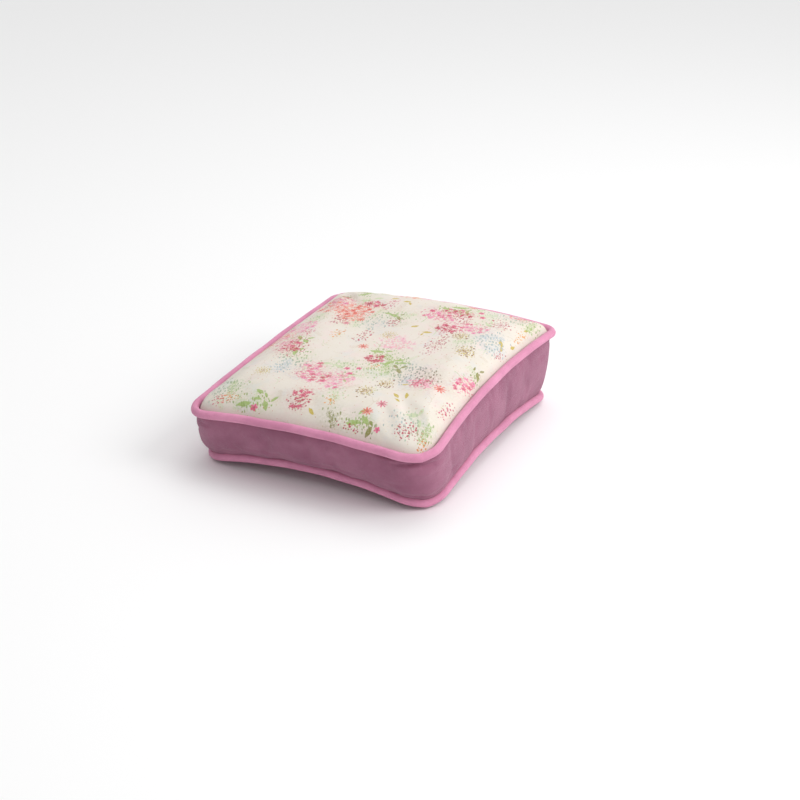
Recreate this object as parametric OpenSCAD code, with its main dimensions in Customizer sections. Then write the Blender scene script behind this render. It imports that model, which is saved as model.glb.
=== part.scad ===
// Box-edged chair seat pad: a zipped cloth cover with piped seams over a wrapped foam block.
// Front is -Y, back is +Y, and the pad rests on z = 0.

/* [Pad] */
// Overall width over the piping
pad_w = 355; // [320:5:420]
// Overall depth over the piping
pad_d = 427; // [380:1:460]
// Radius of the seams at the corners
corner_r = 36; // [28:1:50]
// Height of the upper piping's centre at the front corners
front_h = 82; // [76:1:92]
// Height of the upper piping's centre at the back corners
back_h = 94; // [88:1:104]

/* [Shape] */
// Rise of the upper seam between two corners
top_arc = 9; // [0:1:12]
// Rise of the lower seam between two corners
bottom_arc = 16; // [6:1:18]
// Rise of the top panel over its seam at the middle
crown = 31; // [8:1:36]
// How far each side pulls in between its corners
side_bow = 3; // [0:0.5:5]
// How far the lower seam lies inside the upper one, at each side
side_inset = 6; // [0:1:12]
// The same, at the front
front_inset = 24; // [0:1:28]
// The same, at the back
back_inset = 4; // [0:1:8]
// How far the boxing swells between its seams
boxing_bulge = 6; // [2:1:9]

/* [Piping] */
// Diameter over the piping cloth
piping_d = 11; // [9:0.5:12]
// Diameter of the cord inside
cord_d = 9; // [7:0.5:9]
// Width of the seam allowance that the piping cloth carries
flange_w = 8; // [5:1:9]

/* [Cloth and filling] */
// Thickness of the cover cloth with its seam layers
cloth = 1; // [0.6:0.1:1.2]
// Width of the wrap round the foam
wrap = 16; // [14:1:20]

/* [Zip] */
// Length of the coils
zip_len = 240; // [200:10:240]
// Height of the coils' middle line
zip_z = 58; // [54:1:62]
// Opening between the two folded boxing edges
zip_gap = 12; // [12:0.5:14]
// Width of one tape
tape_w = 14; // [12:1:16]

/* [Hidden] */

print_white = [0.93, 0.89, 0.86];
rose = [0.80, 0.50, 0.66];
rose_light = [0.90, 0.62, 0.78];
foam_cream = [0.93, 0.90, 0.78];
fibre_white = [0.95, 0.95, 0.95];
cord_white = [0.90, 0.88, 0.84];
tape_rose = [0.74, 0.42, 0.58];
nickel = [0.75, 0.75, 0.76];

gap = 0.3;                      // clearance between cloth, filling and piping
pipe_r = piping_d / 2;
cord_r = cord_d / 2;
half_w = pad_w / 2 - pipe_r;    // upper seam, at the cord's centre
half_d = pad_d / 2 - pipe_r;
low_z = pipe_r + gap;           // lower seam at the corners
back_bulge = 2.5;               // the zipped back stays flatter than the other sides

// ---- Seam paths -------------------------------------------------------------
// Both seams are rounded rectangles sampled alike, so that point i of one lies under point i of
// the other. Corner 0 is back right, and the points go round by the left to the front.
corner_steps = 6;
side_steps = 10;
per_quarter = corner_steps + side_steps;
ring_n = 4 * per_quarter;
quarter_turn = [[1, 1], [-1, 1], [-1, -1], [1, -1]];

// Outward direction of point i
function heading(i) =
    let (q = floor(i / per_quarter), k = i % per_quarter)
    90 * (q + min(k / corner_steps, 1));
function outward(i) = [cos(heading(i)), sin(heading(i))];

// Point i of a rounded rectangle of half sizes w and d
function rim(i, w, d) =
    let (
        q = floor(i / per_quarter),
        k = i % per_quarter,
        here = quarter_turn[q],
        next = quarter_turn[(q + 1) % 4],
        share = max(k - corner_steps, 0) / side_steps,
        place = here * (1 - share) + next * share
    )
    [place[0] * (w - corner_r), place[1] * (d - corner_r)] + corner_r * outward(i);

// 0 at a corner and 1 halfway along a side
function between_corners(p, w, d) = 1 - pow(min(abs(p[0]) / w, abs(p[1]) / d), 2);

function slope_z(y) = front_h + (back_h - front_h) * (y + half_d) / (2 * half_d);

low_w = half_w - side_inset;
low_d = half_d - (front_inset + back_inset) / 2;
low_y = (front_inset - back_inset) / 2;

upper_seam = [for (i = [0:ring_n - 1])
    let (
        p = rim(i, half_w, half_d),
        mid = between_corners(p, half_w, half_d),
        q = p - side_bow * mid * outward(i)
    )
    [q[0], q[1], slope_z(p[1]) + top_arc * mid]];
lower_seam = [for (i = [0:ring_n - 1])
    let (
        p = rim(i, low_w, low_d),
        mid = between_corners(p, low_w, low_d),
        q = p - side_bow * mid * outward(i)
    )
    [q[0], q[1] + low_y, low_z + bottom_arc * mid]];

// A point of the side at index i: t goes from the lower to the upper seam, n is outward
function side_point(i, t, n) =
    lower_seam[i] * (1 - t) + upper_seam[i] * t + n * [outward(i)[0], outward(i)[1], 0];

// 1 on the zipped back and 0 elsewhere, with a turn of a corner in between
function backness(i) = max(0, 1 - abs(heading(i) - 90) / 90);
function bulge(i) = boxing_bulge + (back_bulge - boxing_bulge) * backness(i);
function wall_n(i, t) = 4 * bulge(i) * t * (1 - t) - 1;

// ---- Polyhedron helpers -------------------------------------------------------
function flat_list(lists) = [for (one = lists) each one];

// Faces that join ring a to ring b, both of m points
function skin(a, b, m) = [for (j = [0:m - 1])
    [a * m + j, a * m + (j + 1) % m, b * m + (j + 1) % m, b * m + j]];

// A solid through rings of equal length, with a flat cap at each end
module loft(rings) {
    m = len(rings[0]);
    last = len(rings) - 1;
    polyhedron(flat_list(rings), concat(
        flat_list([for (k = [0:last - 1]) skin(k, k + 1, m)]),
        [[for (j = [m - 1:-1:0]) j]],
        [[for (j = [0:m - 1]) last * m + j]]
    ), convexity = 10);
}

function middle(ring) = [for (p = ring) 1 / len(ring)] * ring;

// A solid through wide rings, each end closed by a fan round its middle
module cushion(rings) {
    m = len(rings[0]);
    last = len(rings) - 1;
    low = (last + 1) * m;
    polyhedron(concat(flat_list(rings), [middle(rings[0]), middle(rings[last])]), concat(
        flat_list([for (k = [0:last - 1]) skin(k, k + 1, m)]),
        [for (j = [0:m - 1]) [low, (j + 1) % m, j]],
        [for (j = [0:m - 1]) [low + 1, last * m + j, last * m + (j + 1) % m]]
    ), convexity = 10);
}

// A solid through rings that come back to the first one
module loop(rings) {
    m = len(rings[0]);
    count = len(rings);
    polyhedron(flat_list(rings),
        flat_list([for (k = [0:count - 1]) skin(k, (k + 1) % count, m)]), convexity = 10);
}

// ---- Panels -------------------------------------------------------------------
panel_edge = pipe_r + 0.5;      // the panels end this far inside the cord's centre
crown_flat = 0.1;               // share of the top panel that is level round its middle
rest_share = 0.6;               // share of the bottom panel that lies flat on the seat

function shrunk(p, share, z) = [p[0] * share, p[1] * share, z];
function inside(seam, i, by) = seam[i] - by * [outward(i)[0], outward(i)[1], 0];

// Ring of the top panel at a share of its size, lowered by drop
function top_ring(share, drop, by = panel_edge) = [for (i = [0:ring_n - 1])
    let (
        p = inside(upper_seam, i, by),
        w = max(0, (share - crown_flat) / (1 - crown_flat)),
        lift = (p[2] - slope_z(p[1])) * w * w + crown * pow(1 - pow(w, 5), 0.6)
    )
    shrunk(p, share, slope_z(p[1] * (w == 0 ? 0 : share)) + lift - drop)];

// Ring of the bottom panel at a share of its size, raised by up
function bottom_ring(share, up, by = panel_edge) = [for (i = [0:ring_n - 1])
    let (
        p = inside(lower_seam, i, by),
        w = max(0, (share - rest_share) / (1 - rest_share))
    )
    [p[0] * share, low_y + (p[1] - low_y) * share, (p[2] - 0.5) * w * w + up]];

top_shares = [0.1, 0.4, 0.6, 0.75, 0.85, 0.92, 0.97, 1];
bottom_shares = [0.6, 0.75, 0.88, 1];

function reversed(list) = [for (k = [len(list) - 1:-1:0]) list[k]];

module top_panel() color(print_white)
    cushion(concat(
        [for (s = top_shares) top_ring(s, cloth)],
        [for (s = reversed(top_shares)) top_ring(s, 0)]
    ));

module bottom_panel() color(rose)
    cushion(concat(
        [for (s = bottom_shares) bottom_ring(s, 0)],
        [for (s = reversed(bottom_shares)) bottom_ring(s, cloth)]
    ));

// ---- Filling ------------------------------------------------------------------
foam_low = 8;                   // underside of the foam block
foam_drop = 4;                  // its top plane lies this far under the upper corners
wadding_edge = 11;

function foam_plane(y) = slope_z(y) - foam_drop;

module foam_core() color(foam_cream)
    cushion([
        bottom_ring(rest_share, foam_low, wrap),
        [for (i = [0:ring_n - 1]) side_point(i, 0.1, -wrap)],
        [for (i = [0:ring_n - 1]) side_point(i, 0.8, -wrap)],
        [for (i = [0:ring_n - 1])
            let (p = inside(upper_seam, i, wrap)) shrunk(p, 0.95, foam_plane(p[1] * 0.95))]
    ]);

module top_wadding() color(fibre_white)
    cushion(concat(
        [[for (i = [0:ring_n - 1])
            let (p = inside(upper_seam, i, wadding_edge)) [p[0], p[1], foam_plane(p[1]) + gap]]],
        [for (s = reversed(top_shares)) top_ring(s, cloth + gap, wadding_edge)]
    ));

module bottom_wadding() color(fibre_white)
    cushion([
        bottom_ring(rest_share, cloth + gap, wrap + 2),
        bottom_ring(0.98, cloth + gap, wrap + 2),
        [for (i = [0:ring_n - 1]) inside(lower_seam, i, wrap + 2) + [0, 0, 3]],
        bottom_ring(rest_share, foam_low - 1, wrap + 2)
    ]);

// Band of wadding round the foam's sides, hollowed at the back for the zip slider
back_hollow = 5;
function band_n(i, t) = wall_n(i, t) - cloth - 2 * gap - back_hollow * backness(i);

module side_wadding() color(fibre_white)
    loop([for (i = [0:ring_n - 1]) [
        side_point(i, 0.22, gap - wrap),
        side_point(i, 0.78, gap - wrap),
        side_point(i, 0.78, band_n(i, 0.78)),
        side_point(i, 0.5, band_n(i, 0.5)),
        side_point(i, 0.22, band_n(i, 0.22))
    ]]);

// ---- Boxing -------------------------------------------------------------------
wall_steps = 6;
zip_y = half_d - 1 - back_inset / 2 + back_bulge;
strip_share = 0.997;            // leaves a hairline at the zipped back's two side seams
seam_x = (half_w - corner_r - side_inset / 2) * strip_share;

// Cross-section of the boxing at index i, from just over one piping to just under the other
function wall_section(i) =
    let (end_t = (pipe_r + gap + 0.1) / (upper_seam[i][2] - lower_seam[i][2]))
    let (ts = [for (k = [0:wall_steps]) end_t + (1 - 2 * end_t) * k / wall_steps])
    concat(
        [for (t = ts) side_point(i, t, wall_n(i, t))],
        [for (t = reversed(ts)) side_point(i, t, wall_n(i, t) - cloth)]
    );

// One strip round the left side, the front and the right side
module front_boxing() color(rose) {
    first = per_quarter;        // left side seam
    last = ring_n + corner_steps;
    loft([for (i = [first:last]) reversed(wall_section(i % ring_n))]);
}

// Cross-section at index i of one half of the zipped back, from its folded edge (w = 0) to just
// short of the piping (w = 1); side is 1 for the upper half and -1 for the lower one
function strip_section(i, side) =
    let (
        low = lower_seam[i],
        high = upper_seam[i],
        edge_z = zip_z + side * zip_gap / 2,
        end_z = (side > 0 ? high : low)[2] - side * (pipe_r + gap + 0.1),
        end_y = (side > 0 ? half_d : half_d - back_inset) - 0.6,
        ws = [0, 0.25, 0.5, 0.75, 1],
        at = function (w, in)
            let (z = edge_z + (end_z - edge_z) * w, t = (z - low[2]) / (high[2] - low[2]))
            [(low[0] * (1 - t) + high[0] * t) * strip_share,
                zip_y - (zip_y - end_y) * pow(w, 3) - in, z]
    )
    concat([for (w = ws) at(w, cloth)], [for (w = reversed(ws)) at(w, 0)]);

module zip_boxing(side) color(rose) {
    sections = [for (i = [corner_steps:per_quarter]) strip_section(i, side)];
    loft(side > 0 ? sections : reversed(sections));
}
module zip_boxing_upper() zip_boxing(1);
module zip_boxing_lower() zip_boxing(-1);

// ---- Piping -------------------------------------------------------------------
wrap_steps = 10;
ply = 0.8;                      // one layer of piping cloth
slit = 0.1;                     // half the space between the two plies of the seam allowance

// Section of the piping cloth: wrapped round the cord, both edges leaving together at angle out
function cover_section(out) =
    let (
        outer_a = asin((slit + ply) / pipe_r),
        inner_a = asin(slit / (pipe_r - ply)),
        tip = pipe_r + flange_w,
        turned = function (p) [p[0] * cos(out) - p[1] * sin(out), p[0] * sin(out) + p[1] * cos(out)],
        arc = function (r, a, b) [for (k = [0:wrap_steps])
            let (at = a + (b - a) * k / wrap_steps) [r * cos(at), r * sin(at)]],
        raw = concat(
            [[tip, slit + ply]],
            arc(pipe_r, outer_a, 360 - outer_a),
            [[tip, -slit - ply], [tip, -slit]],
            arc(pipe_r - ply, 360 - inner_a, inner_a),
            [[tip, slit]]
        )
    )
    [for (p = raw) turned(p)];

function round_section(r, steps) = [for (k = [0:steps - 1])
    [r * cos(360 * k / steps), r * sin(360 * k / steps)]];

// Sweeps a section of [outward, up] points round a seam
module piped(seam, section) {
    loop([for (i = [0:ring_n - 1]) [for (s = section)
        seam[i] + [outward(i)[0] * s[0], outward(i)[1] * s[0], s[1]]]]);
}

module top_piping_cover() color(rose_light) piped(upper_seam, cover_section(225));
module bottom_piping_cover() color(rose_light) piped(lower_seam, cover_section(135));
module top_piping_cord() color(cord_white) piped(upper_seam, round_section(cord_r, 8));
module bottom_piping_cord() color(cord_white) piped(lower_seam, round_section(cord_r, 8));

// ---- Zip ----------------------------------------------------------------------
// Zip parts are drawn with u along the zip, v across it and o outward, then stood on the back.
module on_back() translate([0, zip_y, zip_z]) rotate([90, 0, 0]) mirror([0, 0, 1]) children();

tape_t = 0.6;
tape_face = -1.3;               // outer face of the tapes, under the folded boxing edges
coil_t = 2;
coil_in = 0.7;                  // the coils leave a slot of twice this for the slider's neck
coil_out = 3.3;
tape_len = zip_len + 24;
tooth_pitch = 2;
tooth_w = 1;

module tape(side) color(tape_rose) on_back() {
    low_v = side > 0 ? coil_in : -tape_w - coil_in;
    translate([-tape_len / 2, low_v, tape_face - tape_t])
        cube([tape_len, tape_w, tape_t]);
}
module zip_tape_upper() tape(1);
module zip_tape_lower() tape(-1);

// A comb of teeth that stands for the coil
module coil(side) color(rose_light) on_back() {
    teeth = floor(zip_len / tooth_pitch);
    root = coil_out - 1;
    start = -zip_len / 2 + (side > 0 ? 0 : tooth_pitch - tooth_w);
    comb = concat(
        [[zip_len / 2, coil_out], [-zip_len / 2, coil_out], [-zip_len / 2, root]],
        flat_list([for (k = [0:teeth - 1]) let (u = start + k * tooth_pitch)
            [[u, root], [u, coil_in], [u + tooth_w, coil_in], [u + tooth_w, root]]]),
        [[zip_len / 2, root]]
    );
    mirror([0, side > 0 ? 0 : 1, 0])
        translate([0, 0, tape_face]) linear_extrude(coil_t) polygon(comb);
}
module zip_coil_upper() coil(1);
module zip_coil_lower() coil(-1);

stop_len = 3;
module zip_top_stops() color(nickel) on_back()
    for (side = [0, 1]) mirror([0, side, 0])
        translate([zip_len / 2 + 1, coil_in, tape_face]) cube([stop_len, 2.2, 2.2]);
module zip_bottom_stop() color(nickel) on_back()
    translate([-zip_len / 2 - 1 - stop_len, -coil_out, tape_face]) cube([stop_len, 2 * coil_out, 2.2]);

// Folded cloth tabs that close the zip's two ends
module zip_end_tabs() color(rose) on_back()
    for (side = [0, 1]) mirror([side, 0, 0]) {
        tab_from = zip_len / 2 + 1 + stop_len + 1;
        translate([tab_from, gap - zip_gap / 2, -cloth])
            cube([seam_x - tab_from, zip_gap - 2 * gap, cloth]);
    }

slider_len = 14;
slider_w = 10;
slider_tail = 7;                // width at the closed-coil end
plate_t = 1.2;
plate_in = 1.1;                 // inner face of the outer plate
back_plate = -3.4;              // inner face of the plate behind the tapes
slider_rest = zip_len / 2 - 8;  // the slider's middle when the zip is closed
crown_len = 8;
crown_w = 2;
crown_h = 3.2;
pin_r = 0.8;
pin_o = plate_in + plate_t + 1; // height of the pull's cross-bar

module slider_plate() {
    corner = 1.5;
    hull() {
        for (v = [-1, 1]) {
            translate([slider_len / 2 - corner, v * (slider_w / 2 - corner)])
                circle(corner, $fn = 24);
            translate([corner - slider_len / 2, v * (slider_tail / 2 - corner)])
                circle(corner, $fn = 24);
        }
    }
}

// Bridge over the pull's cross-bar, drawn in the plane of u and o
module slider_bridge() {
    foot = plate_in + plate_t;
    translate([0, -crown_w / 2, 0]) rotate([90, 0, 0]) mirror([0, 0, 1])
        linear_extrude(crown_w) difference() {
            translate([-crown_len / 2, foot - 0.2]) square([crown_len, crown_h + 0.2]);
            translate([-crown_len / 2 + 1.8, foot]) square([crown_len - 3.6, 2.2]);
        }
}

module zip_slider() color(nickel) on_back() translate([slider_rest, 0, 0]) {
    translate([0, 0, plate_in]) linear_extrude(plate_t) slider_plate();
    translate([0, 0, back_plate]) linear_extrude(plate_t) slider_plate();
    // Neck that joins the plates in the slot between the coils
    translate([slider_len / 2 - 4, -0.4, back_plate + 0.6])
        cube([3, 0.8, plate_in - back_plate]);
    // Side rims that hold the tapes in
    for (side = [0, 1]) mirror([0, side, 0])
        translate([slider_len / 2 - 7, coil_out + 0.3, tape_face + gap])
            cube([5.5, 1, plate_in - tape_face - gap + 0.2]);
    slider_bridge();
}

pull_len = 26;
pull_w = 7;
pull_t = 1.2;
arm_in = crown_w / 2 + 0.4;
arm_w = 1.2;
pull_root = 5.4;                // the tab starts past the bridge's reach

// Pull tab, lying back over the closed coils and turning on its cross-bar
module zip_pull() color(nickel) on_back() translate([slider_rest, 0, pin_o]) mirror([1, 0, 0]) {
    translate([0, arm_in + arm_w, 0]) rotate([90, 0, 0])
        cylinder(h = 2 * (arm_in + arm_w), r = pin_r, $fn = 32);
    for (side = [0, 1]) mirror([0, side, 0])
        translate([0, arm_in, -pull_t / 2]) cube([pull_root + 0.5, arm_w, pull_t]);
    translate([0, 0, -pull_t / 2]) linear_extrude(pull_t) difference() {
        union() {
            translate([pull_root, -pull_w / 2]) square([pull_len - pull_root - pull_w / 2, pull_w]);
            translate([pull_len - pull_w / 2, 0]) circle(pull_w / 2, $fn = 48);
        }
        translate([pull_len - pull_w / 2, 0]) circle(1.6, $fn = 32);
    }
}

foam_core();
top_wadding();
bottom_wadding();
side_wadding();
top_panel();
bottom_panel();
front_boxing();
zip_boxing_upper();
zip_boxing_lower();
top_piping_cover();
top_piping_cord();
bottom_piping_cover();
bottom_piping_cord();
zip_tape_upper();
zip_tape_lower();
zip_coil_upper();
zip_coil_lower();
zip_top_stops();
zip_bottom_stop();
zip_end_tabs();
zip_slider();
zip_pull();
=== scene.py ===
"""Chair seat pad: printed cotton top, pink boxing, corded piping and a zip along the back.

Sizes are in millimetres until a mesh is made. Front is -Y and the pad rests on z = 0.
"""
import math

import bmesh
import bpy
import numpy as np
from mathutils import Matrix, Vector


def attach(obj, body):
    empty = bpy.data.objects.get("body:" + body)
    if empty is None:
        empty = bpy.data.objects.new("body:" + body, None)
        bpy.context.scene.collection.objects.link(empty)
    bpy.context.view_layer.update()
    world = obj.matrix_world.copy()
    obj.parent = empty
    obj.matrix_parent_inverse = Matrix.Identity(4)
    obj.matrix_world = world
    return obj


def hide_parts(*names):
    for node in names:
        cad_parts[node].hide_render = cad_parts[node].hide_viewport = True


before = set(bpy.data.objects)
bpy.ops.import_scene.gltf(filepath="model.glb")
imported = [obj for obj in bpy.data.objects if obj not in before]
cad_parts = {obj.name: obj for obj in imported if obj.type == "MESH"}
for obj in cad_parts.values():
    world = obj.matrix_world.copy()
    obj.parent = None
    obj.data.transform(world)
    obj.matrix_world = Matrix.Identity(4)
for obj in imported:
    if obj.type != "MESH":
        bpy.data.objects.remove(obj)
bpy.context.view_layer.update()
MM = 0.001

# ---- Sizes ---------------------------------------------------------------------------------
# The seams follow the CAD's, with each corner and each side a little different, as sewn.
# Corners in order: front left, front right, back right, back left. Sides: front, right, back, left.
HALF_W, HALF_D = 173.0, 208.0
TOP_CORNER_Z = (78.5, 82.0, 100.5, 91.0)
TOP_CORNER_R = (31.0, 45.0, 15.0, 20.0)
TOP_ARC = (9.5, 11.5, 13.0, 9.0)
TOP_BOW = (3.0, 9.0, 3.0, 5.0)
CROWN = 33.0
# How far the boxing stands out, in mm, at places p round the pad
SWELL = ((0, 8.5), (0.5, 10), (0.95, 9.5), (1.15, 6.5), (1.5, 4.5), (2, 3), (3, 4), (3.5, 6), (4, 8.5))
LOW_W, LOW_D, LOW_Y = 167.0, 193.0, 8.0
LOW_CORNER_Z = (5.8, 5.7, 5.9, 5.8)
LOW_CORNER_R = (36.0, 44.0, 34.0, 34.0)
LOW_ARC = (19.0, 18.0, 16.0, 17.0)
LOW_BOW = (3.0, 2.0, 3.0, 3.0)
PIPE_R = 5.5
PANEL_EDGE = PIPE_R - 0.4      # a panel ends this far inside its seam line
SIDE_LEN = 380.0               # a side's usual length, which turns p into mm of cloth
TUCK = 0.065                   # share of the boxing's height that is drawn in beside each piping
END_T = 3.6 / 80               # share of that height at which the boxing ends, inside the piping
COVER_PLY, STRIP_PLY, TAB_PLY = 0.8, 0.6, 0.5
ZIP_Y, ZIP_Z, ZIP_LEN, ZIP_GAP = 207.5, 58.0, 240.0, 12.0
SEAM_X = 133.0                 # the zipped back runs between two side seams here

# ---- Small helpers ---------------------------------------------------------------------------


def smooth(x, low, high):
    t = np.clip((x - low) / (high - low), 0, 1)
    return t * t * (3 - 2 * t)


def ripple(seed, x, scale):
    """Smooth 1-D noise in about -1..1, the same on each run."""
    rng = np.random.default_rng(seed)
    total = np.zeros_like(np.asarray(x, float))
    for k in range(7):
        wave = scale * rng.uniform(0.6, 1.7)
        total = total + np.sin(2 * np.pi * (np.asarray(x) / wave + rng.random())) / (1 + 0.35 * k)
    return total / 3.2


def make_mesh(name, points, faces, smooth_faces=True):
    mesh = bpy.data.meshes.new(name)
    mesh.from_pydata([tuple(p) for p in np.asarray(points) * MM], [], [tuple(f) for f in faces])
    mesh.update()
    piece = bpy.data.objects.new(name, mesh)
    bpy.context.scene.collection.objects.link(piece)
    mesh.polygons.foreach_set("use_smooth", [smooth_faces] * len(mesh.polygons))
    return piece


def read(data, field):
    """The vectors that Blender keeps in a field of some mesh data, one to a row."""
    out = np.empty(len(data) * 3)
    data.foreach_get(field, out)
    return out.reshape(-1, 3)


def note(piece, name, values, domain="POINT"):
    """Keeps a number or a vector for each vertex or face corner as an attribute of the mesh."""
    values = np.asarray(values, float)
    kind, field = ("FLOAT", "value") if values.ndim == 1 else ("FLOAT_VECTOR", "vector")
    piece.data.attributes.new(name, kind, domain).data.foreach_set(field, values.ravel())


def vertices(piece):
    return read(piece.data.vertices, "co") / MM


def set_vertices(piece, points):
    piece.data.vertices.foreach_set("co", (np.asarray(points) * MM).ravel())
    piece.data.update()


def bake_modifiers(piece):
    """Replaces the piece's mesh by what its modifiers make of it."""
    graph = bpy.context.evaluated_depsgraph_get()
    made = bpy.data.meshes.new_from_object(piece.evaluated_get(graph), depsgraph=graph)
    piece.modifiers.clear()
    old, piece.data = piece.data, made
    bpy.data.meshes.remove(old)


def refine(piece):
    piece.modifiers.new("fine", "SUBSURF").levels = 1
    bake_modifiers(piece)


def thicken(piece, thickness):
    """Gives cloth its thickness, on the inner side."""
    ply = piece.modifiers.new("ply", "SOLIDIFY")
    ply.thickness, ply.offset = thickness * MM, -1
    bake_modifiers(piece)


def grid_quads(rows, columns, loop_rows=False, loop_columns=False, start=0):
    """Faces of a grid of points kept row by row; a looped grid's last line joins its first."""
    def at(row, column):
        return start + row % rows * columns + column % columns

    return [(at(r, k), at(r, k + 1), at(r + 1, k + 1), at(r + 1, k))
            for r in range(rows - (not loop_rows)) for k in range(columns - (not loop_columns))]


def flipped(quads):
    return [(a, d, c, b) for a, b, c, d in quads]


# ---- Seam paths ------------------------------------------------------------------------------
# p runs from 0 to 4 round the pad: 0 is the front-left corner, 1 front right, 2 back right,
# 3 back left, so the front is 0..1, the right side 1..2, the back 2..3 and the left side 3..4.


def rim(p, w, d, radii):
    """Points, outward directions and side numbers round a rectangle whose corners have radii."""
    p = np.asarray(p, float) % 4
    side = np.floor(p).astype(int)
    f = p - side
    radii = np.asarray(radii)
    r = np.where(f < 0.5, radii[side], radii[(side + 1) % 4])
    straight = np.where(side % 2 == 0, w, d) - r
    arc = math.pi * r / 4
    along = (2 * f - 1) * (straight + arc)
    turn = np.clip((np.abs(along) - straight) / arc, 0, 1) * math.pi / 4 * np.sign(along)
    depth = np.where(side % 2 == 0, d, w) - r
    x = np.clip(along, -straight, straight) + r * np.sin(turn)
    y = -(depth + r * np.cos(turn))
    c, s = np.cos(side * math.pi / 2), np.sin(side * math.pi / 2)
    out = np.stack([c * np.sin(turn) + s * np.cos(turn), s * np.sin(turn) - c * np.cos(turn)], -1)
    return np.stack([c * x - s * y, s * x + c * y], -1), out, side


def seam(p, w, d, radii, corner_z, arcs, bows, seed):
    """A seam line round the pad: it rises and pulls in between its corners."""
    xy, out, side = rim(p, w, d, radii)
    mid = 1 - np.minimum(np.abs(xy[..., 0]) / w, np.abs(xy[..., 1]) / d) ** 2
    z = corner_plane(xy, w, d, corner_z) + np.asarray(arcs)[side] * mid
    walk = np.asarray(p) * SIDE_LEN
    z = z + 0.6 * mid * ripple(seed, walk, 110)
    pull = np.asarray(bows)[side] * mid + 0.5 * ripple(seed + 1, walk, 90)
    return np.concatenate([xy - out * pull[..., None], z[..., None]], -1), out


def corner_plane(xy, w, d, corner_z):
    u = np.clip((xy[..., 0] / w + 1) / 2, 0, 1)
    v = np.clip((xy[..., 1] / d + 1) / 2, 0, 1)
    fl, fr, br, bl = corner_z
    return (1 - u) * (1 - v) * fl + u * (1 - v) * fr + u * v * br + (1 - u) * v * bl


def upper_seam(p):
    return seam(p, HALF_W, HALF_D, TOP_CORNER_R, TOP_CORNER_Z, TOP_ARC, TOP_BOW, 3)


def lower_seam(p):
    place, out = seam(p, LOW_W, LOW_D, LOW_CORNER_R, LOW_CORNER_Z, LOW_ARC, LOW_BOW, 5)
    return place + np.array([0, LOW_Y, 0]), out


# ---- Cover as one net of vertices ------------------------------------------------------------
NX, NY, ROWS = 72, 86, 24      # cells across, cells deep, rows up the boxing
COUNT = 2 * (NX + NY)


def grid_param():
    """For each vertex of a panel's grid: its share s of the way out, and its place p round the rim."""
    u, v = np.meshgrid(np.linspace(-1, 1, NX + 1), np.linspace(-1, 1, NY + 1), indexing="ij")
    s = np.maximum(np.abs(u), np.abs(v))
    safe = np.maximum(s, 1e-9)
    a, b = u / safe, v / safe
    front, right, back = b <= -1 + 1e-9, a >= 1 - 1e-9, b >= 1 - 1e-9
    p = np.select([front, right, back], [(a + 1) / 2, 1 + (b + 1) / 2, 2 + (1 - a) / 2], 3 + (1 - b) / 2)
    return s, p, u, v


def rim_order():
    """Grid vertex indices round the rim, in the order of p, and their p."""
    steps = ([(i, 0) for i in range(NX)] + [(NX, j) for j in range(NY)]
             + [(i, NY) for i in range(NX, 0, -1)] + [(0, j) for j in range(NY, 0, -1)])
    p = [side + k / cells for side, cells in enumerate((NX, NY, NX, NY)) for k in range(cells)]
    return [i * (NY + 1) + j for i, j in steps], np.array(p)


def panel_faces(start, up):
    quads = grid_quads(NX + 1, NY + 1, start=start)
    return flipped(quads) if up else [q[1:] + q[:1] for q in quads]


def crown_lift(s):
    """How far the wadding lifts the top, steepest beside the piping."""
    return CROWN * np.maximum(1 - s ** 6, 0) ** 0.58


def top_points(s, p):
    line, out = upper_seam(p)
    edge = line[..., :2] - out * PANEL_EDGE
    xy = edge * s[..., None]
    base = corner_plane(xy, HALF_W, HALF_D, TOP_CORNER_Z)
    arc = (line[..., 2] - corner_plane(line, HALF_W, HALF_D, TOP_CORNER_Z)) * s ** 2
    dip = -2.0 * smooth(s, 0.97, 1.0)
    return np.concatenate([xy, (base + arc + crown_lift(s) + dip)[..., None]], -1)


def bottom_points(s, p):
    line, out = lower_seam(p)
    edge = line[..., :2] - out * PANEL_EDGE
    centre = np.array([0, LOW_Y])
    xy = centre + (edge - centre) * s[..., None]
    w = np.clip((s - 0.6) / 0.4, 0, 1)
    return np.concatenate([xy, ((line[..., 2] + 1.0) * w ** 2)[..., None]], -1)


def wall_points(p, t):
    """The boxing at p and at height share t: fullest under its middle, on the zip's plane behind."""
    low, _ = lower_seam(p)
    high, out = upper_seam(p)
    swell = np.interp(np.asarray(p) % 4, *np.transpose(SWELL))
    tucked = np.clip((t - TUCK) / (1 - 2 * TUCK), 0, 1)
    shape = swell * (1 - np.abs(2 * tucked - 1) ** 3.4) * (1 + 0.85 * (0.5 - t))
    place = low * (1 - t)[..., None] + high * t[..., None]
    z = place[..., 2].copy()
    place[..., :2] += out * (shape - 2.0)[..., None]
    over, under = z - ZIP_Z - ZIP_GAP / 2, ZIP_Z - ZIP_GAP / 2 - z
    upper = over > under
    share = np.where(upper, over / (high[..., 2] - ZIP_Z - ZIP_GAP / 2),
                     under / (ZIP_Z - ZIP_GAP / 2 - low[..., 2]))
    end_y = np.where(upper, high[..., 1], low[..., 1]) - 2.0
    flat = ZIP_Y - (ZIP_Y - end_y) * np.clip(share, 0, 1) ** 3
    back = 1 - smooth(np.abs(np.asarray(p) - 2.5), 0.39, 0.5)
    place[..., 1] += back * (flat - place[..., 1])
    return place


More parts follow.
